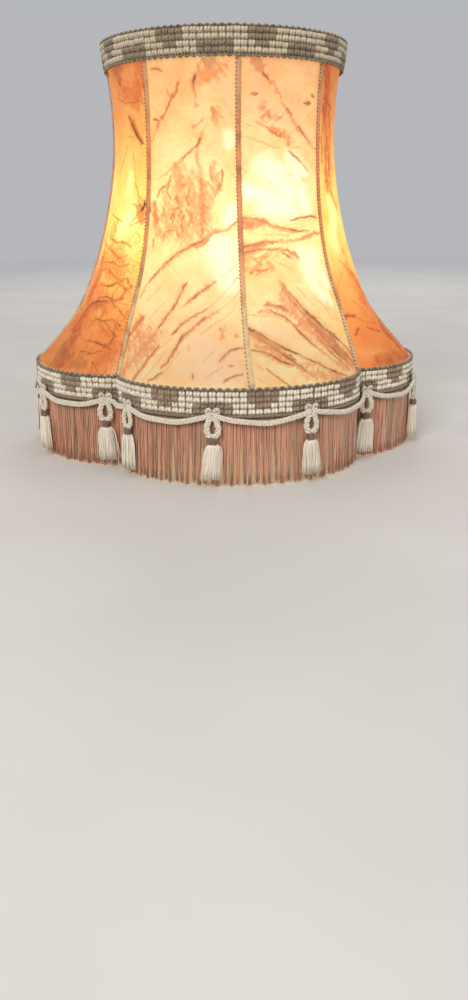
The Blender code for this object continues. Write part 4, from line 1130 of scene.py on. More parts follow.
            (32.5, 60.3, 0.55, 38.8, 55, 0.47),
            (6, 41.6, 0.67, 10.1, 50.6, 0.88, 23.3, 48.3, 0.63, 34.3, 40.9, 0.54),
            (14, 19.8, 0.68, 27.5, 19.1, 0.97, 36.9, 22.4, 0.56),
            (21.1, 76.3, 0.6, 18, 67.5, 0.65, 28.6, 62.1, 0.47),
            (18.8, 94.3, 0.42, 13, 85.8, 0.53, 24.2, 82.4, 0.43),
            (-16.1, 110.1, 0.5, 4.2, 103.7, 0.51, 4.1, 95.7, 0.49),
            (-9.4, 115.7, 0.85, 4.1, 112.1, 0.87, 15.1, 113.2, 0.78, 23.5, 109.6, 0.63),
            (-10.4, 96.3, 0.88, 4.5, 97.2, 1.05, 16.1, 93.8, 0.94, 25.9, 95.7, 0.72),
            (-5.4, 78.6, 0.92, 11.7, 78.3, 1.09, 19.4, 81.2, 0.88, 31.9, 76.3, 0.78),
            (-0.2, 67.5, 0.91, 11.1, 69.9, 1.03, 22.9, 67.5, 1.01, 31.1, 69.6, 0.77),
            (8.3, 50.9, 1.01, 20.8, 48.6, 1.28, 29.4, 51.8, 0.97, 40.3, 46.3, 0.89),
            (34.3, 42.2, 1.05, 40, 37.1, 1.46, 39.2, 29.3, 1.07, 35.8, 24.9, 0.9),
            (31.2, 142.6, 0.6, 26.2, 147, 0.6, 22.1, 152.9, 0.52, 20.1, 157.3, 0.45),
            (33, 140.4, 0.6, 33, 147.5, 0.6, 33, 153.5, 0.52),
            (30.4, 137.4, 0.68, 24.7, 132.2, 0.6, 18, 125.4, 0.53),
            (29.8, 140.4, 0.6, 25.6, 139.9, 0.52, 19.5, 141.8, 0.45),
        ),
    },
    "dark": {
        0: (
            (4.4, 227.5, 1.2, 3.1, 223.2, 1.65, 3.6, 219.4, 0.9),
            (-7, 154.8, 1.35, -6.5, 154.3, 1.05),
            (-36.3, 142.3, 1.05, -36, 138.8, 1.5, -34.8, 136, 1.15),
            (6.1, 112.9, 0.75, 0, 110.1, 1.12, -5.6, 107, 0.98, -10.4, 104.2, 0.75),
        ),
        1: (
            (19.1, 211.4, 0.75, 22.7, 211.7, 1.5, 26.1, 211.7, 0.68),
            (-11.1, 81.8, 1.02, -8.3, 76.9, 1.05, -4.4, 71.4, 1.12, -0.9, 66.9, 1.58,
             3.4, 61.2, 1.95, 7.6, 56.3, 1.98, 12.5, 51.8, 2.09, 16.4, 47, 2.11, 21.7, 41.9, 2.09,
             27.7, 36.7, 1.65, 35.8, 30, 1.44, 46.8, 21.3, 1.54, 58.4, 9.7, 1.21),
            (23, 38.5, 1.63, 26.5, 34.2, 1.43, 27.6, 30.3, 0.74),
            (-48, 50.2, 1.56, -45.3, 48.6, 2.02, -41.8, 46, 2.13, -37.4, 42.9, 2.42,
             -33.6, 38.8, 2.02, -30, 35.7, 1.92, -25.8, 31.8, 1.73, -20.4, 28.5, 1.36,
             -13, 22.8, 1.31, -7, 18.8, 1.1, -0.6, 15.1, 1.32, 6.1, 10, 0.97, 12.9, 5.7, 1.3,
             24.7, 0, 0.83),
            (-36, 130.8, 0.9, -30, 130.8, 0.75, -24.8, 130.3, 0.9, -20.2, 128.9, 1.05,
             -15.8, 126.5, 0.75),
            (-38.6, 110.7, 0.9, -31.9, 110.7, 0.98, -25.5, 111.8, 1.05, -20.8, 113.2, 0.75),
            (-38.6, 105.6, 0.83, -32.5, 106.5, 1.07, -27.7, 107.3, 0.76),
        ),
        7: (
            (10.4, 202.6, 0.57, 15.6, 199.4, 1.43, 19, 192.4, 1.87, 22.5, 188.4, 0.86,
             29.1, 184.4, 0.5),
            (31.7, 140.1, 2.1, 32.7, 137.1, 1.34),
            (15.3, 66.3, 1.09, 2.4, 65.4, 1.57, -10.3, 59.7, 2.42, -15.1, 51.2, 2.23,
             -17.4, 42.9, 2.87, -18.3, 36.7, 1.43),
            (28.2, 141, 1.65, 31.3, 137.1, 4.2, 34.1, 133.6, 2.25),
            (24.8, 144.8, 0.68, 28.9, 139.6, 1.2),
            (31.6, 136.6, 1.2, 25.5, 134.4, 0.68),
            (10.6, 203.9, 0.9, 13.3, 201.2, 1.8, 16.5, 197.2, 3.15, 18.9, 194, 2.25,
             22.5, 189.8, 1.2, 27.2, 185.2, 0.9),
        ),
    },
    "spot": {
        7: (
            (30.9, 144.2, 0.75, 32.8, 140.7, 1.95, 31.4, 138.2, 1.95, 30, 136.3, 1.05),
            (33.7, 144.8, 0.75, 34.4, 140.4, 1.12),
            (13.8, 199.1, 0.6, 16.9, 194.8, 1.42, 20.1, 191.1, 0.83, 24.3, 187.1, 0.6),
        ),
    },
}

PANEL_ACROSS = 64
PANEL_UP = 150
PANEL_FOOT, PANEL_HEAD_GAP = 0.0005, 0.0002
SEAM_GAP = 0.0006
SKIN_INSET = 0.00045
PULL_DEPTH, PULL_REACH, PULL_PITCH = 0.00022, 0.006, 0.0105
SWELL_DEPTH = 0.00028


def panel_grid(index):
    """Grid of skin points, (rows, columns, 3), and their places flat in metres."""
    lobe, half = divmod(index, 2)
    height = np.linspace(PANEL_FOOT, TOP_HEIGHT - PANEL_HEAD_GAP, PANEL_UP + 1)
    middle = bell(0, np.zeros_like(height), height, 0.0)
    edge = bell(0, np.ones_like(height), height, 0.0)
    width = np.linalg.norm(edge - middle, axis=1)
    across = np.linspace(0.0, 1.0, PANEL_ACROSS + 1)
    trim = (SEAM_GAP / 2 / width)[:, None]
    t = trim + (1 - 2 * trim) * across[None]
    inset = -SKIN_INSET * lean(height)[:, None]
    points = bell(lobe, t - 1 + half, np.broadcast_to(height[:, None], t.shape), inset)
    run = np.linalg.norm(np.diff(points, axis=1), axis=-1)
    run = np.concatenate([np.zeros((len(run), 1)), np.cumsum(run, axis=1)], axis=1)
    u = run - run[:, -1:] / 2
    rise = np.linalg.norm(np.diff(middle, axis=0), axis=1)
    v = np.concatenate([[0.0], np.cumsum(rise)])
    return points, np.stack(np.broadcast_arrays(u, v[:, None]), axis=-1)


def ripple(flat, index):
    """How far the stretched skin lies inward of the true bell, a little more by its edges."""
    u, v = flat[..., 0], flat[..., 1]
    half_width = u[:, -1:]
    near = np.exp(-(half_width - np.abs(u)) / PULL_REACH)
    pull = 0.5 + 0.5 * np.sin(v * math.tau / PULL_PITCH + 1.7 * index)
    swell = np.sin(v * 47 + u * 31 + index) * np.sin(u * 83 - v * 21 + 2 * index)
    return PULL_DEPTH * near * pull + SWELL_DEPTH * (0.5 + 0.5 * swell)


def make_skin():
    """The eight panels of skin, each a single stretched sheet."""
    for index in range(2 * LOBES):
        points, flat = panel_grid(index)
        points = points - unit(points * LEVEL) * ripple(flat, index)[..., None]
        quads = grid_quads(*flat.shape[:2], closed_columns=False)[:, INSIDE_OUT]
        shape = Shape()
        shape.add(points, [quads], run=flat)
        item = shape.object(f"skin_panel_{index + 1}", [skin_look(index)])
        item.data.uv_layers["Run"].name = "Hide"
        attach(item, "shade")
        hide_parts(f"panel_{index + 1}")
        width = float(flat[..., 0].max() - flat[..., 0].min())
        length = float(flat[..., 1].max())
        corners = points[:-1, :-1], points[:-1, 1:], points[1:, 1:], points[1:, :-1]
        halves = (
            np.cross(corners[1] - corners[0], corners[2] - corners[0]),
            np.cross(corners[2] - corners[0], corners[3] - corners[0]),
        )
        area = sum(float(np.linalg.norm(half, axis=-1).sum()) / 2 for half in halves)
        area = min(area, width * length)


make_skin()

# ---------------------------------------------------------------- gallery and lacing

GALLERY_BACK, GALLERY_FRONT = -0.0009, -0.0001
GALLERY_FOOT, GALLERY_TOP = -0.0200, -0.0004


def make_gallery():
    """The strip of skin round the vertical gallery, under the braid."""
    shape = Shape()
    section = strip(GALLERY_BACK, GALLERY_FRONT, GALLERY_FOOT, GALLERY_TOP)
    shape.add(*band_loft(section, rim, RIM_STEPS, RIM_TOTAL))
    look = Look("gallery_skin")
    where = look.place()
    cloud = look.noise(where, 40.0, 5.0, 0.6)
    tint = look.mix(look.span(cloud, 0.3, 0.7), (0.52, 0.28, 0.13), (0.85, 0.58, 0.30))
    gloss = look.span(cloud, 0.3, 0.7, 0.45, 0.65)
    hide = look.solid(tint, gloss, look.noise(where, 700.0), 0.0003)
    item = shape.object("gallery_skin", [hide], smooth=False)
    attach(item, "shade")
    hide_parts("gallery_band")


LACE_PITCH = 0.0026
LACE_SAMPLES = 6
LACE_FOOT = 0.0006
LACE_LAP = 0.0040  # how far it runs up behind the top braid
LACE_ACROSS = np.array((-0.0017, -0.0014, -0.0007, 0.0, 0.0007, 0.0014, 0.0017))
LACE_RISE = np.array((0.0, 0.0005, 0.0009, 0.0010, 0.0009, 0.0005, 0.0))
LACE_SLANT = 0.45
LACE_BACK = np.array([[0.0015, -0.0015]])
LACE_BACK_OFFSET = -0.0002
LACE_CREST = 0.00008
LACE_WAVE = 0.00015
STITCH_RADIUS = 0.00034
STITCH_RISE, STITCH_SPREAD = 0.0005, 0.0003  # half a stitch, up the seam and across it
STITCH_LEVEL = 0.0004
STITCH_OFFSET, STITCH_BULGE = 0.0002, 0.0004


def lace_look():
    """Waxed lacing: beige above; half way down, painted orange-brown where the lamp lights it."""
    look = Look("lacing")
    where = look.place()
    height = look.height(where)
    cloud = look.noise(where, 60.0, 4.0, 0.6)
    fibre = look.noise(where, 1800.0, 3.0, 0.7)
    # Painted light: orange-brown below the head, where the lamp lights the lace.
    middle = look.span(height, 0.175, 0.135)
    tint = look.mix(middle, (0.92, 0.66, 0.40), (1.0, 0.58, 0.30))
    tint = look.mix(look.span(height, 0.08, 0.00), tint, (1.0, 0.90, 0.62))
    tint = look.mix(look.span(cloud, 0.45, 0.75, 0.0, 0.6), tint, (0.30, 0.15, 0.08))
    tint = look.mix(look.span(fibre, 0.35, 0.8, 0.0, 0.4), tint, (0.22, 0.12, 0.07))
    return look.solid(tint, look.span(fibre, 0.3, 0.7, 0.5, 0.75), fibre, 0.0003, 0.6)


def seam(index, height, across, offset):
    """Points beside a seam. across is the distance from it, which may pass a notch."""
    lobe, at = divmod(index, 2)
    middle = bell(0, np.zeros_like(height), height, 0.0)
    edge = bell(0, np.ones_like(height), height, 0.0)
    t = at + across / np.linalg.norm(edge - middle, axis=-1)
    past = t > 1
    lobe, t = np.where(past, lobe + 1, lobe), np.where(past, t - 2, t)
    return bell(lobe, t, height, offset * lean(height))


def make_lacing():
    """Over each seam a whipped lace, ridged turn by turn, with dark stitches at its edge."""
    top, foot = TOP_HEIGHT - TOP_BRAID_DEPTH + LACE_LAP, LACE_FOOT
    stitch = yarn("lacing_thread", (0.36, 0.09, 0.04), (0.20, 0.05, 0.03), glow=0.15)
    looks = [lace_look(), stitch]
    turns = int((top - foot) / LACE_PITCH)
    rows = turns * LACE_SAMPLES + 1
    height = np.linspace(foot, top, rows)
    ridge = np.abs(np.sin(math.pi * (height - foot) / LACE_PITCH)) ** 0.6
    across, rise = LACE_ACROSS, LACE_RISE
    for index in range(2 * LOBES):
        slant = height[:, None] + across[None] * LACE_SLANT
        slant = np.clip(slant, foot, top)
        crest = np.abs(np.sin(math.pi * (slant - foot) / LACE_PITCH - across * 550)) ** 0.6
        offset = rise[None] * (0.84 + 0.16 * ridge[:, None]) + LACE_CREST * crest
        wave = LACE_WAVE * np.sin(height * 410 + index)[:, None]
        outer = seam(index, height[:, None] + 0 * across[None], across[None] + wave, offset)
        level = height[:, None] + 0 * LACE_BACK
        back = seam(index, level, LACE_BACK + wave, LACE_BACK_OFFSET)
        section = np.concatenate([outer, back], axis=1)
        quads = grid_quads(*section.shape[:2])[:, INSIDE_OUT]
        shape = Shape()
        shape.add(section, [quads, end_caps(*section.shape[:2])[:, ::-1]])
        at = foot + LACE_PITCH * (np.arange(turns) + 0.5)
        for side in (-1, 1):
            steps = np.linspace(-1.0, 1.0, 4)
            level = at[:, None] + steps[None] * STITCH_RISE * side + STITCH_LEVEL * side
            out = STITCH_OFFSET + STITCH_BULGE * (1 - steps[None] ** 2) + 0 * level
            edge = side * (LACE_ACROSS[-1] + LACE_WAVE * np.sin(at[:, None] * 900))
            beside = edge + steps[None] * STITCH_SPREAD
            lines = seam(index, np.clip(level, foot, top), beside, out)
            thread = 1 if side < 0 else 0
            shape.tubes(lines, unit(lines * LEVEL), STITCH_RADIUS, sides=5, material=thread)
        item = shape.object(f"lacing_{index + 1}", looks)
        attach(item, "shade")
        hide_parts(f"seam_lace_{index + 1}")


make_gallery()
make_lacing()

# ---------------------------------------------------------------- braids

BRAID_ROWS = 4
BOTTOM_FOOT, BOTTOM_TOP = -0.0208, -0.0004
FIRST_ROW, ROW = -0.0017, 0.0042
BOTTOM_REPEAT = 13
HEAD_REPEATS = 9
HEAD_PHASE = -1.67
TWIST_SAMPLES = 8
SHORT_GAP = 0.05  # stations nearer than this are the pair at the joint
SHORT_REPEAT = 6
BRAID_BACK, BRAID_FRONT = 0.0003, 0.0009  # offsets of the braid's backing
BRAID_LIFT = 0.0008
STRAND_RADIUS, STRAND_SWELL, STRAND_BULGE = 0.00112, 0.00034, 0.0010
ARCH_RADIUS, ARCH_BULGE = 0.00092, 0.0005
TWIST_LEVEL, TWIST_LIFT, TWIST_THICK, TWIST_PITCH = -0.0197, 0.0016, 0.00062, 0.0042
OVER_LEVEL, OVER_SAG, OVER_LIFT, OVER_RADIUS = -0.0101, 0.0003, 0.0030, 0.00045
TOP_BACKING_GAP = 0.0006
TOP_FIRST_ROW, TOP_EDGES = 0.0010, 0.0026  # drop to the rows; height that edges take up
OFF_WHITE, BROWN, OLIVE, STRIP = 0, 1, 2, 3


def braid_looks(greying):
    """The four yarns of a braid. The given share greys and darkens the two that show most."""
    grey = np.array((0.47, 0.36, 0.20))
    white, cream_white, brown, deep = (
        tuple((1 - greying) * np.array(colour) + greying * share * grey)
        for colour, share in (
            ((0.92, 0.82, 0.66), 1.0),
            ((0.76, 0.65, 0.48), 0.9),
            ((0.42, 0.275, 0.17), 0.5),
            ((0.28, 0.18, 0.105), 0.4),
        )
    )
    return [
        yarn("yarn_off_white", white, cream_white),
        yarn("yarn_brown", brown, deep),
        yarn("yarn_olive", (0.30, 0.215, 0.11), (0.17, 0.12, 0.06)),
        yarn("yarn_strip", (0.40, 0.27, 0.16), (0.27, 0.18, 0.11), rough=0.6),
    ]


def motif(column, row):
    """Colour of a stitch: column 0 is over a tassel, row 0 is the top row."""
    near = min(column, BOTTOM_REPEAT - column)
    middle = abs(column - BOTTOM_REPEAT / 2)
    if row <= 1:
        return BROWN if middle < 2.0 else OFF_WHITE
    if row == 2:
        return BROWN if middle < 1.0 or near <= 2 else OFF_WHITE
    return BROWN if near <= 2.6 else OFF_WHITE


def stitches(shape, place, starts, widths, colours, top, row_height, lift, flip):
    """Two fat strands, leaning apart, for every stitch of one row."""
    steps = np.linspace(0.0, 1.0, 7)
    jitter = rng.normal(0.0, 1.0, (len(starts), 4))
    for side in (-1, 1):
        for colour in (OFF_WHITE, BROWN):
            chosen = np.flatnonzero(colours == colour)
            if not len(chosen):
                continue
            start, width = starts[chosen, None], widths[chosen, None]
            wobble = jitter[chosen]
            lean_out = 0.17 + 0.09 * (steps if flip else 1 - steps)
            spread = 0.5 + side * lean_out[None]
            distance = start + width * (spread + 0.025 * wobble[:, :1])
            height = top - row_height * (0.14 + 0.72 * steps[None]) + 0.00016 * wobble[:, 1:2]
            bulge = np.sin(math.pi * steps) ** 0.6
            offset = lift + STRAND_BULGE * bulge[None] + 0.0001 * wobble[:, 2:3]
            lines = np.stack(np.broadcast_arrays(distance, height, offset), axis=-1)
            radius = (STRAND_RADIUS + STRAND_SWELL * bulge)[None] * (1 + 0.05 * wobble[:, 3:4])
            lay(shape, place, lines, radius, flat=0.8, material=colour)


def loops_edge(shape, place, starts, widths, level, rise, lift, thick=ARCH_RADIUS):
    """A row of small arches along the braid's edge."""
    turn = np.linspace(0.0, math.pi, 7)
    distance = starts[:, None] + widths[:, None] * (0.5 - 0.36 * np.cos(turn))[None]
    height = level + rise * np.sin(turn)[None] + 0 * distance
    offset = lift + ARCH_BULGE * np.sin(turn)[None] + 0 * distance
    lines = np.stack([distance, height, offset], axis=-1)
    lay(shape, place, lines, thick, material=OLIVE)


def twisted(shape):
    """A two-ply cord running the whole way round the foot of the wide braid."""
    turns = int(RIM_TOTAL / TWIST_PITCH)
    steps = turns * TWIST_SAMPLES
    distance = np.arange(steps) / steps * RIM_TOTAL
    turn = math.tau * distance / (RIM_TOTAL / turns)
    for ply in (0.0, math.pi):
        height = TWIST_LEVEL + TWIST_THICK * np.sin(turn + ply)
        offset = TWIST_LIFT + TWIST_THICK * np.cos(turn + ply)
        line = np.stack([distance, height, offset], axis=-1)
        lay(shape, rim, line, TWIST_THICK * 1.08, sides=7, closed=True, material=STRIP)


def bottom_columns():
    """Start and width of every column of stitches, and its place in the repeat."""
    starts, widths, places = [], [], []
    stops = np.append(STATIONS, STATIONS[0] + RIM_TOTAL)
    for start, end in zip(stops, stops[1:]):
        count = BOTTOM_REPEAT if end - start > SHORT_GAP else SHORT_REPEAT
        width = (end - start) / count
        for column in range(count):
            starts.append(start + (column - 0.5) * width)
            widths.append(width)
            places.append(column if count == BOTTOM_REPEAT else min(column, count - column))
    return np.array(starts), np.array(widths), places


def make_bottom_braid():
    """The wide patterned braid over the gallery, one repeat from tassel to tassel."""
    shape = Shape()
    section = strip(BRAID_BACK, BRAID_FRONT, BOTTOM_FOOT, BOTTOM_TOP)
    shape.add(*band_loft(section, rim, RIM_STEPS, RIM_TOTAL), material=OLIVE)
    starts, widths, places = bottom_columns()
    for row in range(BRAID_ROWS):
        colours = np.array([motif(place, row) for place in places])
        top = FIRST_ROW - ROW * row
        stitches(shape, rim, starts, widths, colours, top, ROW, BRAID_LIFT, row % 2)
    loops_edge(shape, rim, starts, widths, -0.0018, 0.0022, 0.0014)
    twisted(shape)
    over = [start for start, place in zip(starts, places) if place == 0]
    reach = np.linspace(-1.1, 2.1, 9) * TASSEL_PITCH / BOTTOM_REPEAT
    height = OVER_LEVEL + OVER_SAG * np.cos(reach * 700)
    for start in over:
        line = np.stack([start + reach, height, OVER_LIFT + 0 * reach], axis=-1)
        lay(shape, rim, line, OVER_RADIUS, material=OLIVE)
    item = shape.object("crochet_braid_bottom", braid_looks(0.0))
    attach(item, "shade")
    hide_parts("bottom_braid")


def make_top_braid():
    """The same braid round the head, greyer and darker."""
    shape = Shape()
    foot = TOP_HEIGHT - TOP_BRAID_DEPTH
    section = strip(BRAID_BACK, BRAID_FRONT, foot + TOP_BACKING_GAP, TOP_HEIGHT)
    shape.add(*band_loft(section, head, HEAD_STEPS, HEAD_TOTAL), material=OLIVE)
    count = HEAD_REPEATS * BOTTOM_REPEAT
    width = HEAD_TOTAL / count
    starts = (np.arange(count) - 0.5 + HEAD_PHASE) * width
    widths = np.full(count, width)
    row_height = (TOP_BRAID_DEPTH - TOP_EDGES) / BRAID_ROWS
    for row in range(BRAID_ROWS):
        colours = np.array([motif(column % BOTTOM_REPEAT, row) for column in range(count)])
        top = TOP_HEIGHT - TOP_FIRST_ROW - row_height * row
        stitches(shape, head, starts, widths, colours, top, row_height, BRAID_LIFT, row % 2)
    loops_edge(shape, head, starts, widths, TOP_HEIGHT - 0.0014, 0.0014, 0.0012, 0.0007)
    loops_edge(shape, head, starts, widths, foot + 0.0016, -0.0016, 0.0012)
    item = shape.object("crochet_braid_top", braid_looks(0.62))
    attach(item, "shade")
    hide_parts("top_braid")


make_bottom_braid()
make_top_braid()

# ---------------------------------------------------------------- fringe


def fringe_look():
    """Copper-brown rayon: every thread its own shade, some of them bright and metallic."""
    look = Look("fringe_thread")
    where = look.place()
    island = look.island()
    clump = look.noise(look.stretched(where, (1.0, 1.0, 0.12)), 160.0, 3.0, 0.6)
    along = look.noise(look.stretched(where, (1.0, 1.0, 0.10)), 1500.0, 2.0, 0.6)
    wide = look.noise(look.stretched(where, (1.0, 1.0, 0.3)), 30.0, 2.0, 0.5)
    tint = look.mix(look.span(clump, 0.40, 0.60), (0.66, 0.44, 0.28), (0.95, 0.52, 0.32))
    tint = look.mix(look.span(island, 0.05, 0.40, 0.45, 0.0), tint, (0.34, 0.19, 0.12))
    tint = look.mix(look.span(island, 0.60, 0.85, 0.0, 0.8), tint, (1.0, 0.66, 0.45))
    tint = look.mix(look.span(wide, 0.50, 0.68, 0.0, 0.5), tint, (0.98, 0.49, 0.31))
    tint = look.mix(look.span(along, 0.60, 0.82, 0.0, 0.5), tint, (0.30, 0.17, 0.11))
    height = look.height(where)
    # Painted glints: a few threads turn near white low down.
    painted_glint = look.math("MULTIPLY", look.span(island, 0.86, 0.90), look.span(along, 0.42, 0.52))
    painted_glint = look.math("MULTIPLY", painted_glint, look.span(height, -0.066, -0.082))
    tint = look.mix(painted_glint, tint, (1.0, 0.93, 0.84))
    # Painted shade: the threads' tops, under the braid's edge, darkened.
    shade_under_braid = look.span(height, SHADE_UNDER_BRAID_FOOT, SHADE_UNDER_BRAID_FOOT + 0.0025)
    tint = look.mix(shade_under_braid, tint, (0.25, 0.165, 0.095))
    gloss = look.span(along, 0.3, 0.7, 0.32, 0.5)
    lit = look.mix(0.4, tint, (0.9, 0.35, 0.16))
    metal = look.span(island, 0.55, 0.85, 0.0, 0.3)
    return look.solid(tint, gloss, along, 0.0002, 0.35, lit, Metallic=metal, Sheen_Weight=0.2)


FRINGE_TOP = -0.0200
# Lowest height of the painted shade at the top of the fringe.
SHADE_UNDER_BRAID_FOOT = FRINGE_TOP - SEAT_HEIGHT - 0.0036
FRINGE_END = -0.0710
FRINGE_LAYERS = (-0.0009, 0.0000, 0.0009)
FRINGE_SPACING = 0.00076
FRINGE_RAGGED = 0.0013
FRINGE_RADIUS = 0.00029
FRINGE_STRAY, FRINGE_SWAY, FRINGE_BOW = 0.0004, 0.00025, 0.0004
CLUMP = 0.0045
CLUMP_SWING, CLUMP_LIFT, CLUMP_DROP = 0.0007, 0.0018, 0.0004


def make_fringe():
    """Cut threads in three layers, hanging straight and gathered in small clumps below."""
    shape = Shape()
    steps = np.linspace(0.0, 1.0, 7)
    for layer, offset in enumerate(FRINGE_LAYERS):
        count = int(RIM_TOTAL / FRINGE_SPACING)
        start = (np.arange(count) + rng.uniform(-0.4, 0.4, count)) * RIM_TOTAL / count
        lock = np.floor(start / CLUMP + 0.8 * np.sin(start * 23))
        middle = np.array([start[lock == each].mean() for each in lock])
        drawn = middle - start
        drift = drawn * rng.uniform(0.45, 0.95, count) + rng.normal(0.0, FRINGE_STRAY, count)
        drift += CLUMP_SWING * np.sin(lock * 2.4)
        sway = rng.normal(0.0, FRINGE_SWAY, count)
        bow = rng.normal(0.0, FRINGE_BOW, count)
        end = FRINGE_END + np.abs(rng.normal(0.0, FRINGE_RAGGED, count))
        end = end + CLUMP_LIFT * np.sin(lock * 1.9) ** 2 - CLUMP_DROP
        distance = start[:, None] + drift[:, None] * steps[None] ** 1.6
        distance = distance + sway[:, None] * np.sin(math.tau * steps)[None]
        height = FRINGE_TOP + (end - FRINGE_TOP)[:, None] * steps[None]
        out = offset + bow[:, None] * steps[None] ** 1.5
        lines = np.stack([distance, height, np.broadcast_to(out, distance.shape)], axis=-1)
        taper = 1.65 - 0.75 * steps[None]
        radius = FRINGE_RADIUS * rng.uniform(0.8, 1.2, count)[:, None] * taper
        lay(shape, rim, lines, radius, sides=3)
    item = shape.object("fringe_threads", [fringe_look()])
    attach(item, "shade")
    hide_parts("fringe")


make_fringe()

# ---------------------------------------------------------------- swagged cord

CORD_HEIGHT = -0.0175
CORD_SAG = 0.0062
CORD_STEP = 0.0009
CORD_END_GAP = 0.0046
CORD_SMOOTHING = 9
CORD_STRAND = 0.00098
PLAIT_REACH, PLAIT_THICKNESS, PLAIT_PITCH = 0.00125, 0.00050, 0.0085
CURL_RADIUS = 0.0015
CURL_SPREAD = 0.0029
CURL_HEIGHT = -0.0151
CURL_OFFSET = 0.0049
CURL_PLY, CURL_REACH, CURL_TWISTS = 0.00092, 0.0008, 4


def cord_route():
    """The cord's own line: caught up at each tassel and sagging between them."""
    stops = np.append(STATIONS, STATIONS[0] + RIM_TOTAL)
    end = stops[-1] - CORD_END_GAP
    distance = np.linspace(stops[0], end, int((end - stops[0]) / CORD_STEP))
    index = np.clip(np.searchsorted(stops, distance, side="right") - 1, 0, len(stops) - 2)
    gap = stops[index + 1] - stops[index]
    part = (distance - stops[index]) / gap
    uneven = 1 + 0.10 * np.sin(2.3 * index + 0.6) + 0.06 * np.sin(distance * 190)
    drop = CORD_SAG * np.minimum(gap / TASSEL_PITCH, 1.0) * (1 - (2 * part - 1) ** 2) * uneven
    window = np.hanning(CORD_SMOOTHING)
    window /= window.sum()
    padded = np.pad(drop, CORD_SMOOTHING // 2, mode="edge")
    drop = np.convolve(padded, window, mode="valid")
    return distance, CORD_HEIGHT - drop


def make_cord():
    """The swagged cord: three strands plaited along one line round the rim."""
    distance, height = cord_route()
    line = rim(distance, height, CORD_OFFSET)
    out = outward(rim, distance, height, CORD_OFFSET)
    across = crosswise(line, out)
    shape = Shape()
    run = np.concatenate([[0.0], np.cumsum(np.linalg.norm(np.diff(line, axis=0), axis=1))])
    for strand in range(3):
        wind = math.tau * (run / PLAIT_PITCH + strand / 3)
        thick = PLAIT_THICKNESS * np.sin(2 * wind)
        path = wound(line, across, PLAIT_REACH * np.sin(wind), out, thick)
        shape.tubes(path, out, CORD_STRAND, sides=7)
    item = shape.object("swag_plait", [CORD_LOOK])
    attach(item, "shade")
    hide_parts("swag_cord")
    curls = make_curls()


def make_curls():
    """Two small curls of cord over the braid above every tassel."""
    shape = Shape()
    turn = math.tau * np.arange(18) / 18
    for station in STATIONS:
        for side in (-1, 1):
            tip = rng.uniform(-0.3, 0.3)
            radius = CURL_RADIUS * rng.uniform(0.92, 1.1)
            distance = station + side * CURL_SPREAD + radius * np.cos(turn + tip)
            height = CURL_HEIGHT + 1.12 * radius * np.sin(turn + tip)
            offset = CURL_OFFSET + 0.0006 * np.sin(turn) + 0 * distance
            line = rim(distance, height, offset)
            out = outward(rim, distance, height, offset)
            across = crosswise(line, out, closed=True)
            for ply in (0.0, math.pi):
                wind = turn * CURL_TWISTS + ply
                sideways, away = CURL_REACH * np.sin(wind), CURL_REACH * np.cos(wind)
                path = wound(line, across, sideways, out, away)
                shape.tubes(path, out, CURL_PLY, closed=True)
    item = shape.object("swag_curls", [CORD_LOOK])
    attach(item, "shade")
    return item


CORD_LOOK = yarn("cord_yarn", (0.90, 0.81, 0.65), (0.74, 0.65, 0.50), pitch=0.0018, glow=0.06)

# ---------------------------------------------------------------- tassels

TASSEL_TOP = -0.0198
THREADS = 120
LOOP_STEPS = 40
LOOP_HALF_WIDTH = 0.0046 * 1.16
LOOP_TOP, LOOP_LENGTH = 0.0012, 0.0148
LOOP_TWISTS, LOOP_REACH, LOOP_THICKNESS, LOOP_STRAND = 4, 0.00135, 0.00055, 0.00102
COLLAR_THREAD = 0.00052
SKIRT_THREAD = 0.00034
COLLAR_TOP, COLLAR_FOOT = 0.0150, 0.0192
COLLAR_TURNS = 6
COLLAR_HALF_WIDTH, COLLAR_HALF_DEPTH = 0.0030, 0.0026
# Depth below the tassel's top and half width of the core under the collar.
COLLAR_CORE = ((0.0138, 0.0014), (0.0146, 0.0027), (0.0196, 0.0027), (0.0200, 0.0018))
SKIRT_TOP = 0.0190
SKIRT_LENGTHS = (0.0445, 0.0465)
SKIRT_HALF_WIDTH, SKIRT_HALF_DEPTH = 0.0062, 0.0034
SKIRT_RAGGED, SKIRT_SLANT, SKIRT_WAVE = 0.0015, 0.0013, 0.00035
CORE_TOP, CORE_SHORTER = 0.0188, 0.0030
CORE_HALF_WIDTH, CORE_HALF_DEPTH = 0.0051, 0.0028


def satin():
    """The brown thread wound round a tassel's neck."""
    look = Look("collar_thread")
    where = look.place()
    fibre = look.noise(look.stretched(where, (1.0, 1.0, 3.0)), 900.0, 3.0, 0.6)
    tint = look.mix(look.span(fibre, 0.3, 0.7), (0.09, 0.045, 0.028), (0.24, 0.15, 0.10))
    gloss = look.span(fibre, 0.3, 0.7, 0.28, 0.45)
    return look.solid(tint, gloss, fibre, 0.0003, Sheen_Weight=0.3)


def cream():
    """Cream rayon threads of the tassels' skirts."""
    look = Look("skirt_thread")
    where = look.place()
    island = look.island()
    along = look.noise(look.stretched(where, (1.0, 1.0, 0.12)), 1300.0, 3.0, 0.6)
    cloud = look.noise(where, 70.0, 3.0, 0.5)
    tint = look.mix(look.span(island, 0.0, 1.0), (0.90, 0.80, 0.64), (1.0, 0.92, 0.78))
    tint = look.mix(look.span(cloud, 0.5, 0.75, 0.0, 0.3), tint, (0.88, 0.72, 0.55))
    tint = look.mix(look.span(along, 0.5, 0.8, 0.0, 0.45), tint, (0.42, 0.36, 0.24))
    gloss = look.span(along, 0.3, 0.7, 0.42, 0.62)
    return look.solid(tint, gloss, along, 0.0002, 0.22, Sheen_Weight=0.3)


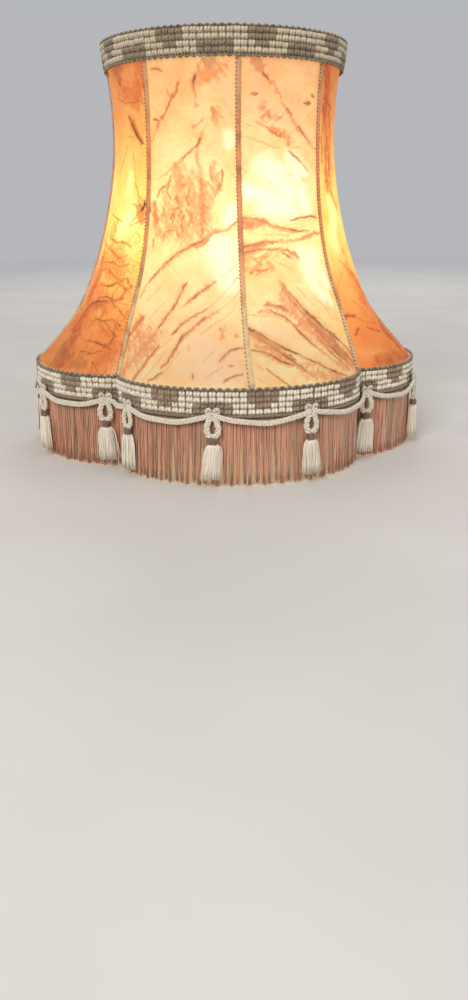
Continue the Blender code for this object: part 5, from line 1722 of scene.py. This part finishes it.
def tassel_loop(shape):
    """A teardrop loop of plaited cord. Its top is where it hangs."""
    turn = math.tau * np.arange(LOOP_STEPS) / LOOP_STEPS
    fall = (1 - np.cos(turn)) / 2
    x = LOOP_HALF_WIDTH * np.sin(turn) * (0.42 + 0.58 * fall**0.8)
    z = LOOP_TOP - LOOP_LENGTH * fall
    line = np.stack([x, 0 * x, z], axis=-1)
    out = np.broadcast_to((0.0, -1.0, 0.0), line.shape)
    across = crosswise(line, out, closed=True)
    for strand in range(3):
        wind = turn * LOOP_TWISTS + math.tau * strand / 3
        thick = LOOP_THICKNESS * np.sin(2 * wind)
        path = wound(line, across, LOOP_REACH * np.sin(wind), out, thick)
        shape.tubes(path, out, LOOP_STRAND, sides=7, closed=True)


def oval(turn, half_width, half_depth, drop):
    """Points of a level oval this far below the tassel's top."""
    x, y = half_width * np.cos(turn), half_depth * np.sin(turn)
    return np.stack([x, y, 0 * turn - drop], axis=-1)


def tassel_collar(shape):
    """Turns of thread wound tight round the neck."""
    turn = math.tau * np.arange(20) / 20
    middle, reach = (COLLAR_TOP + COLLAR_FOOT) / 2, (COLLAR_FOOT - COLLAR_TOP) / 2
    for drop in np.linspace(COLLAR_TOP, COLLAR_FOOT, COLLAR_TURNS):
        swell = 1.0 - 0.06 * abs(drop - middle) / reach
        line = oval(turn, COLLAR_HALF_WIDTH * swell, COLLAR_HALF_DEPTH * swell, drop)
        shape.tubes(line, unit(line * LEVEL), COLLAR_THREAD, closed=True, material=1)
    rings = [oval(turn, half, half * 0.88, drop) for drop, half in COLLAR_CORE]
    add_loft(shape, rings, material=1)


def add_loft(shape, rings, material):
    """A closed solid through rings of points, with a cap at both ends."""
    size = len(rings), len(rings[0])
    shape.add(np.array(rings), [grid_quads(*size), end_caps(*size)], material)


def tassel_skirt(shape):
    """Threads that spread from under the collar, over a soft core of more threads."""
    wide = rng.uniform(0.88, 1.22)
    slant = rng.normal(0.0, SKIRT_SLANT)
    length = rng.uniform(*SKIRT_LENGTHS)
    angle = rng.uniform(0.0, math.tau, THREADS)
    ring = rng.uniform(0.72, 1.0, THREADS) ** 0.5
    steps = np.array((0.0, 0.10, 0.25, 0.50, 0.75, 1.0))
    spread = np.interp(steps, (0.0, 0.10, 0.25, 0.6, 1.0), (0.46, 0.76, 0.91, 1.0, 1.06))
    flare = 1 + rng.normal(0.0, 0.09, THREADS) + 0.3 * (rng.uniform(0.0, 1.0, THREADS) > 0.93)
    end = length - np.abs(rng.normal(0.0, SKIRT_RAGGED, THREADS))
    drop = SKIRT_TOP + (end[:, None] - SKIRT_TOP) * steps[None]
    across = SKIRT_HALF_WIDTH * wide * np.cos(angle) * ring * flare
    depth = SKIRT_HALF_DEPTH * np.sin(angle) * ring
    turned = rng.normal(0.0, SKIRT_WAVE, (THREADS, 2))
    x = across[:, None] * spread[None] + slant * steps[None] ** 1.3
    x = x + turned[:, :1] * np.sin(steps * 5)[None]
    y = depth[:, None] * (0.75 + 0.25 * spread)[None] + turned[:, 1:] * steps[None]
    lines = np.stack([x, y, -drop], axis=-1)
    out = unit(lines * LEVEL + (0.0, -1e-5, 0.0))
    shape.tubes(lines, out, SKIRT_THREAD, sides=4, material=2)
    turn = math.tau * np.arange(24) / 24
    groove = 1 + 0.05 * np.cos(turn * 12)
    rings = []
    for part, share in zip(steps, spread):
        level = CORE_TOP + (length - CORE_SHORTER - CORE_TOP) * part
        x = CORE_HALF_WIDTH * wide * share * np.cos(turn) * groove + slant * part**1.3
        y = CORE_HALF_DEPTH * (0.75 + 0.25 * share) * np.sin(turn) * groove
        rings.append(np.stack([x, y, 0 * turn - level], axis=-1))
    add_loft(shape, rings, material=2)


def make_tassels():
    """The 14 tassels, each on its own swinging body."""
    looks = [CORD_LOOK, satin(), cream()]
    for index, station in enumerate(STATIONS):
        shape = Shape()
        tassel_loop(shape)
        tassel_collar(shape)
        tassel_skirt(shape)
        item = shape.object(f"tassel_threads_{index + 1}", looks)
        along = rim(station + 0.001, 0.0, CORD_OFFSET) - rim(station - 0.001, 0.0, CORD_OFFSET)
        hang = rim(station, TASSEL_TOP, CORD_OFFSET)
        turn = math.atan2(along[1], along[0])
        item.data.transform(Matrix.Translation(hang) @ Matrix.Rotation(turn, 4, "Z"))
        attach(item, f"tassel_body_{index + 1}")
        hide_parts(f"tassel_{index + 1}")


make_cord()
make_tassels()

# ---------------------------------------------------------------- frame


def enamel():
    """Cream enamel on wire, chipped and rubbed a little."""
    look = Look("wire_enamel")
    where = look.place()
    cloud = look.noise(where, 55.0, 5.0, 0.65)
    chip = look.noise(where, 420.0, 4.0, 0.7)
    worn = look.math("MULTIPLY", look.span(chip, 0.62, 0.70), look.span(cloud, 0.45, 0.65))
    tint = look.mix(look.span(cloud, 0.3, 0.7), (0.62, 0.56, 0.43), (0.80, 0.76, 0.64))
    tint = look.mix(worn, tint, (0.20, 0.12, 0.07))
    gloss = look.span(chip, 0.3, 0.7, 0.32, 0.55)
    metal = look.math("MULTIPLY", worn, 0.6)
    return look.solid(tint, gloss, look.math("ADD", chip, worn), 0.0002, Metallic=metal)


def brass():
    """Dull brass-plated steel with fine scratches."""
    look = Look("fitter_brass")
    where = look.place()
    scratch = look.noise(look.stretched(where, (1.0, 14.0, 1.0), 0.5), 220.0, 4.0, 0.6)
    cloud = look.noise(where, 70.0, 4.0, 0.6)
    tint = look.mix(look.span(cloud, 0.35, 0.7), (0.42, 0.29, 0.12), (0.72, 0.56, 0.28))
    gloss = look.span(scratch, 0.3, 0.7, 0.28, 0.5)
    metal = look.span(cloud, 0.2, 0.8, 1.0, 0.85)
    return look.solid(tint, gloss, scratch, 0.0002, Metallic=metal)


def finish_frame():
    """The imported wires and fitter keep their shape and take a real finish."""
    wire, fitter = enamel(), brass()
    for name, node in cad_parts.items():
        if name == "fitter_ring":
            look = fitter
        elif name.startswith(("rib_", "fitter_arm", "top_ring", "upper_rim", "lower_rim")):
            look = wire
        else:
            continue
        node.data.materials.clear()
        node.data.materials.append(look)


finish_frame()

# ---------------------------------------------------------------- floor and light

FLOOR_HALF_SIZE = 6.0
FLOOR_GAP = 0.0006
STUDIO_WHITE = (1.0, 0.98, 0.95)
LAMP_AT = (0.0, 0.0, 0.064)
LAMP_POWER = 0.42
LAMP_COLOUR = (1.0, 0.80, 0.50)
LAMP_RADIUS = 0.028


def make_floor():
    """A plain pale floor that fades into the backdrop."""
    shape = Shape()
    size, level = FLOOR_HALF_SIZE, float(cad_low.z) - FLOOR_GAP
    corners = [(x * size, y * size, level) for x, y in ((-1, -1), (1, -1), (1, 1), (-1, 1))]
    shape.add(corners, [np.array([[0, 1, 2, 3]])])
    look = Look("floor")
    where = look.place()
    far = look.node("VectorMath", {0: where}, operation="LENGTH").outputs["Value"]
    cloud = look.noise(where, 6.0, 3.0, 0.5)
    tint = look.mix(look.span(cloud, 0.3, 0.7), (0.60, 0.58, 0.545), (0.64, 0.62, 0.585))
    plain = look.node("BsdfDiffuse", {"Color": tint})
    clear = look.node("BsdfTransparent")
    mixed = look.node(
        "MixShader", {0: look.span(far, 1.0, 3.2), 1: plain.outputs[0], 2: clear.outputs[0]}
    )
    item = shape.object("floor", [look.finish(mixed.outputs[0])], smooth=False)


def area_light(name, at, size, power):
    """A round soft light that faces the origin."""
    data = bpy.data.lights.new(name, "AREA")
    data.shape = "DISK"
    data.size = size
    data.energy = power
    data.color = STUDIO_WHITE
    item = bpy.data.objects.new(name, data)
    item.location = at
    item.rotation_mode = "QUATERNION"
    item.rotation_quaternion = (-Vector(at)).to_track_quat("-Z", "Y")
    bpy.context.scene.collection.objects.link(item)


def make_lights():
    """Soft studio light all round, and the lamp's own warm light inside the shade."""
    world = bpy.data.worlds.new("backdrop")
    bpy.context.scene.world = world
    world.use_nodes = True
    back = world.node_tree.nodes["Background"]
    back.inputs["Color"].default_value = (0.93, 0.95, 1.0, 1.0)
    back.inputs["Strength"].default_value = 0.50
    area_light("key", (-0.9, -1.9, 1.3), 1.2, 40.0)
    area_light("fill", (1.6, -1.2, 0.9), 1.4, 10.0)
    area_light("rim_light", (0.4, 2.0, 1.4), 1.4, 16.0)
    data = bpy.data.lights.new("lamp", "POINT")
    data.energy = LAMP_POWER
    data.color = LAMP_COLOUR
    data.shadow_soft_size = LAMP_RADIUS
    lamp = bpy.data.objects.new("lamp", data)
    lamp.location = LAMP_AT
    bpy.context.scene.collection.objects.link(lamp)
    bpy.context.scene.view_settings.view_transform = "Standard"


make_floor()
make_lights()
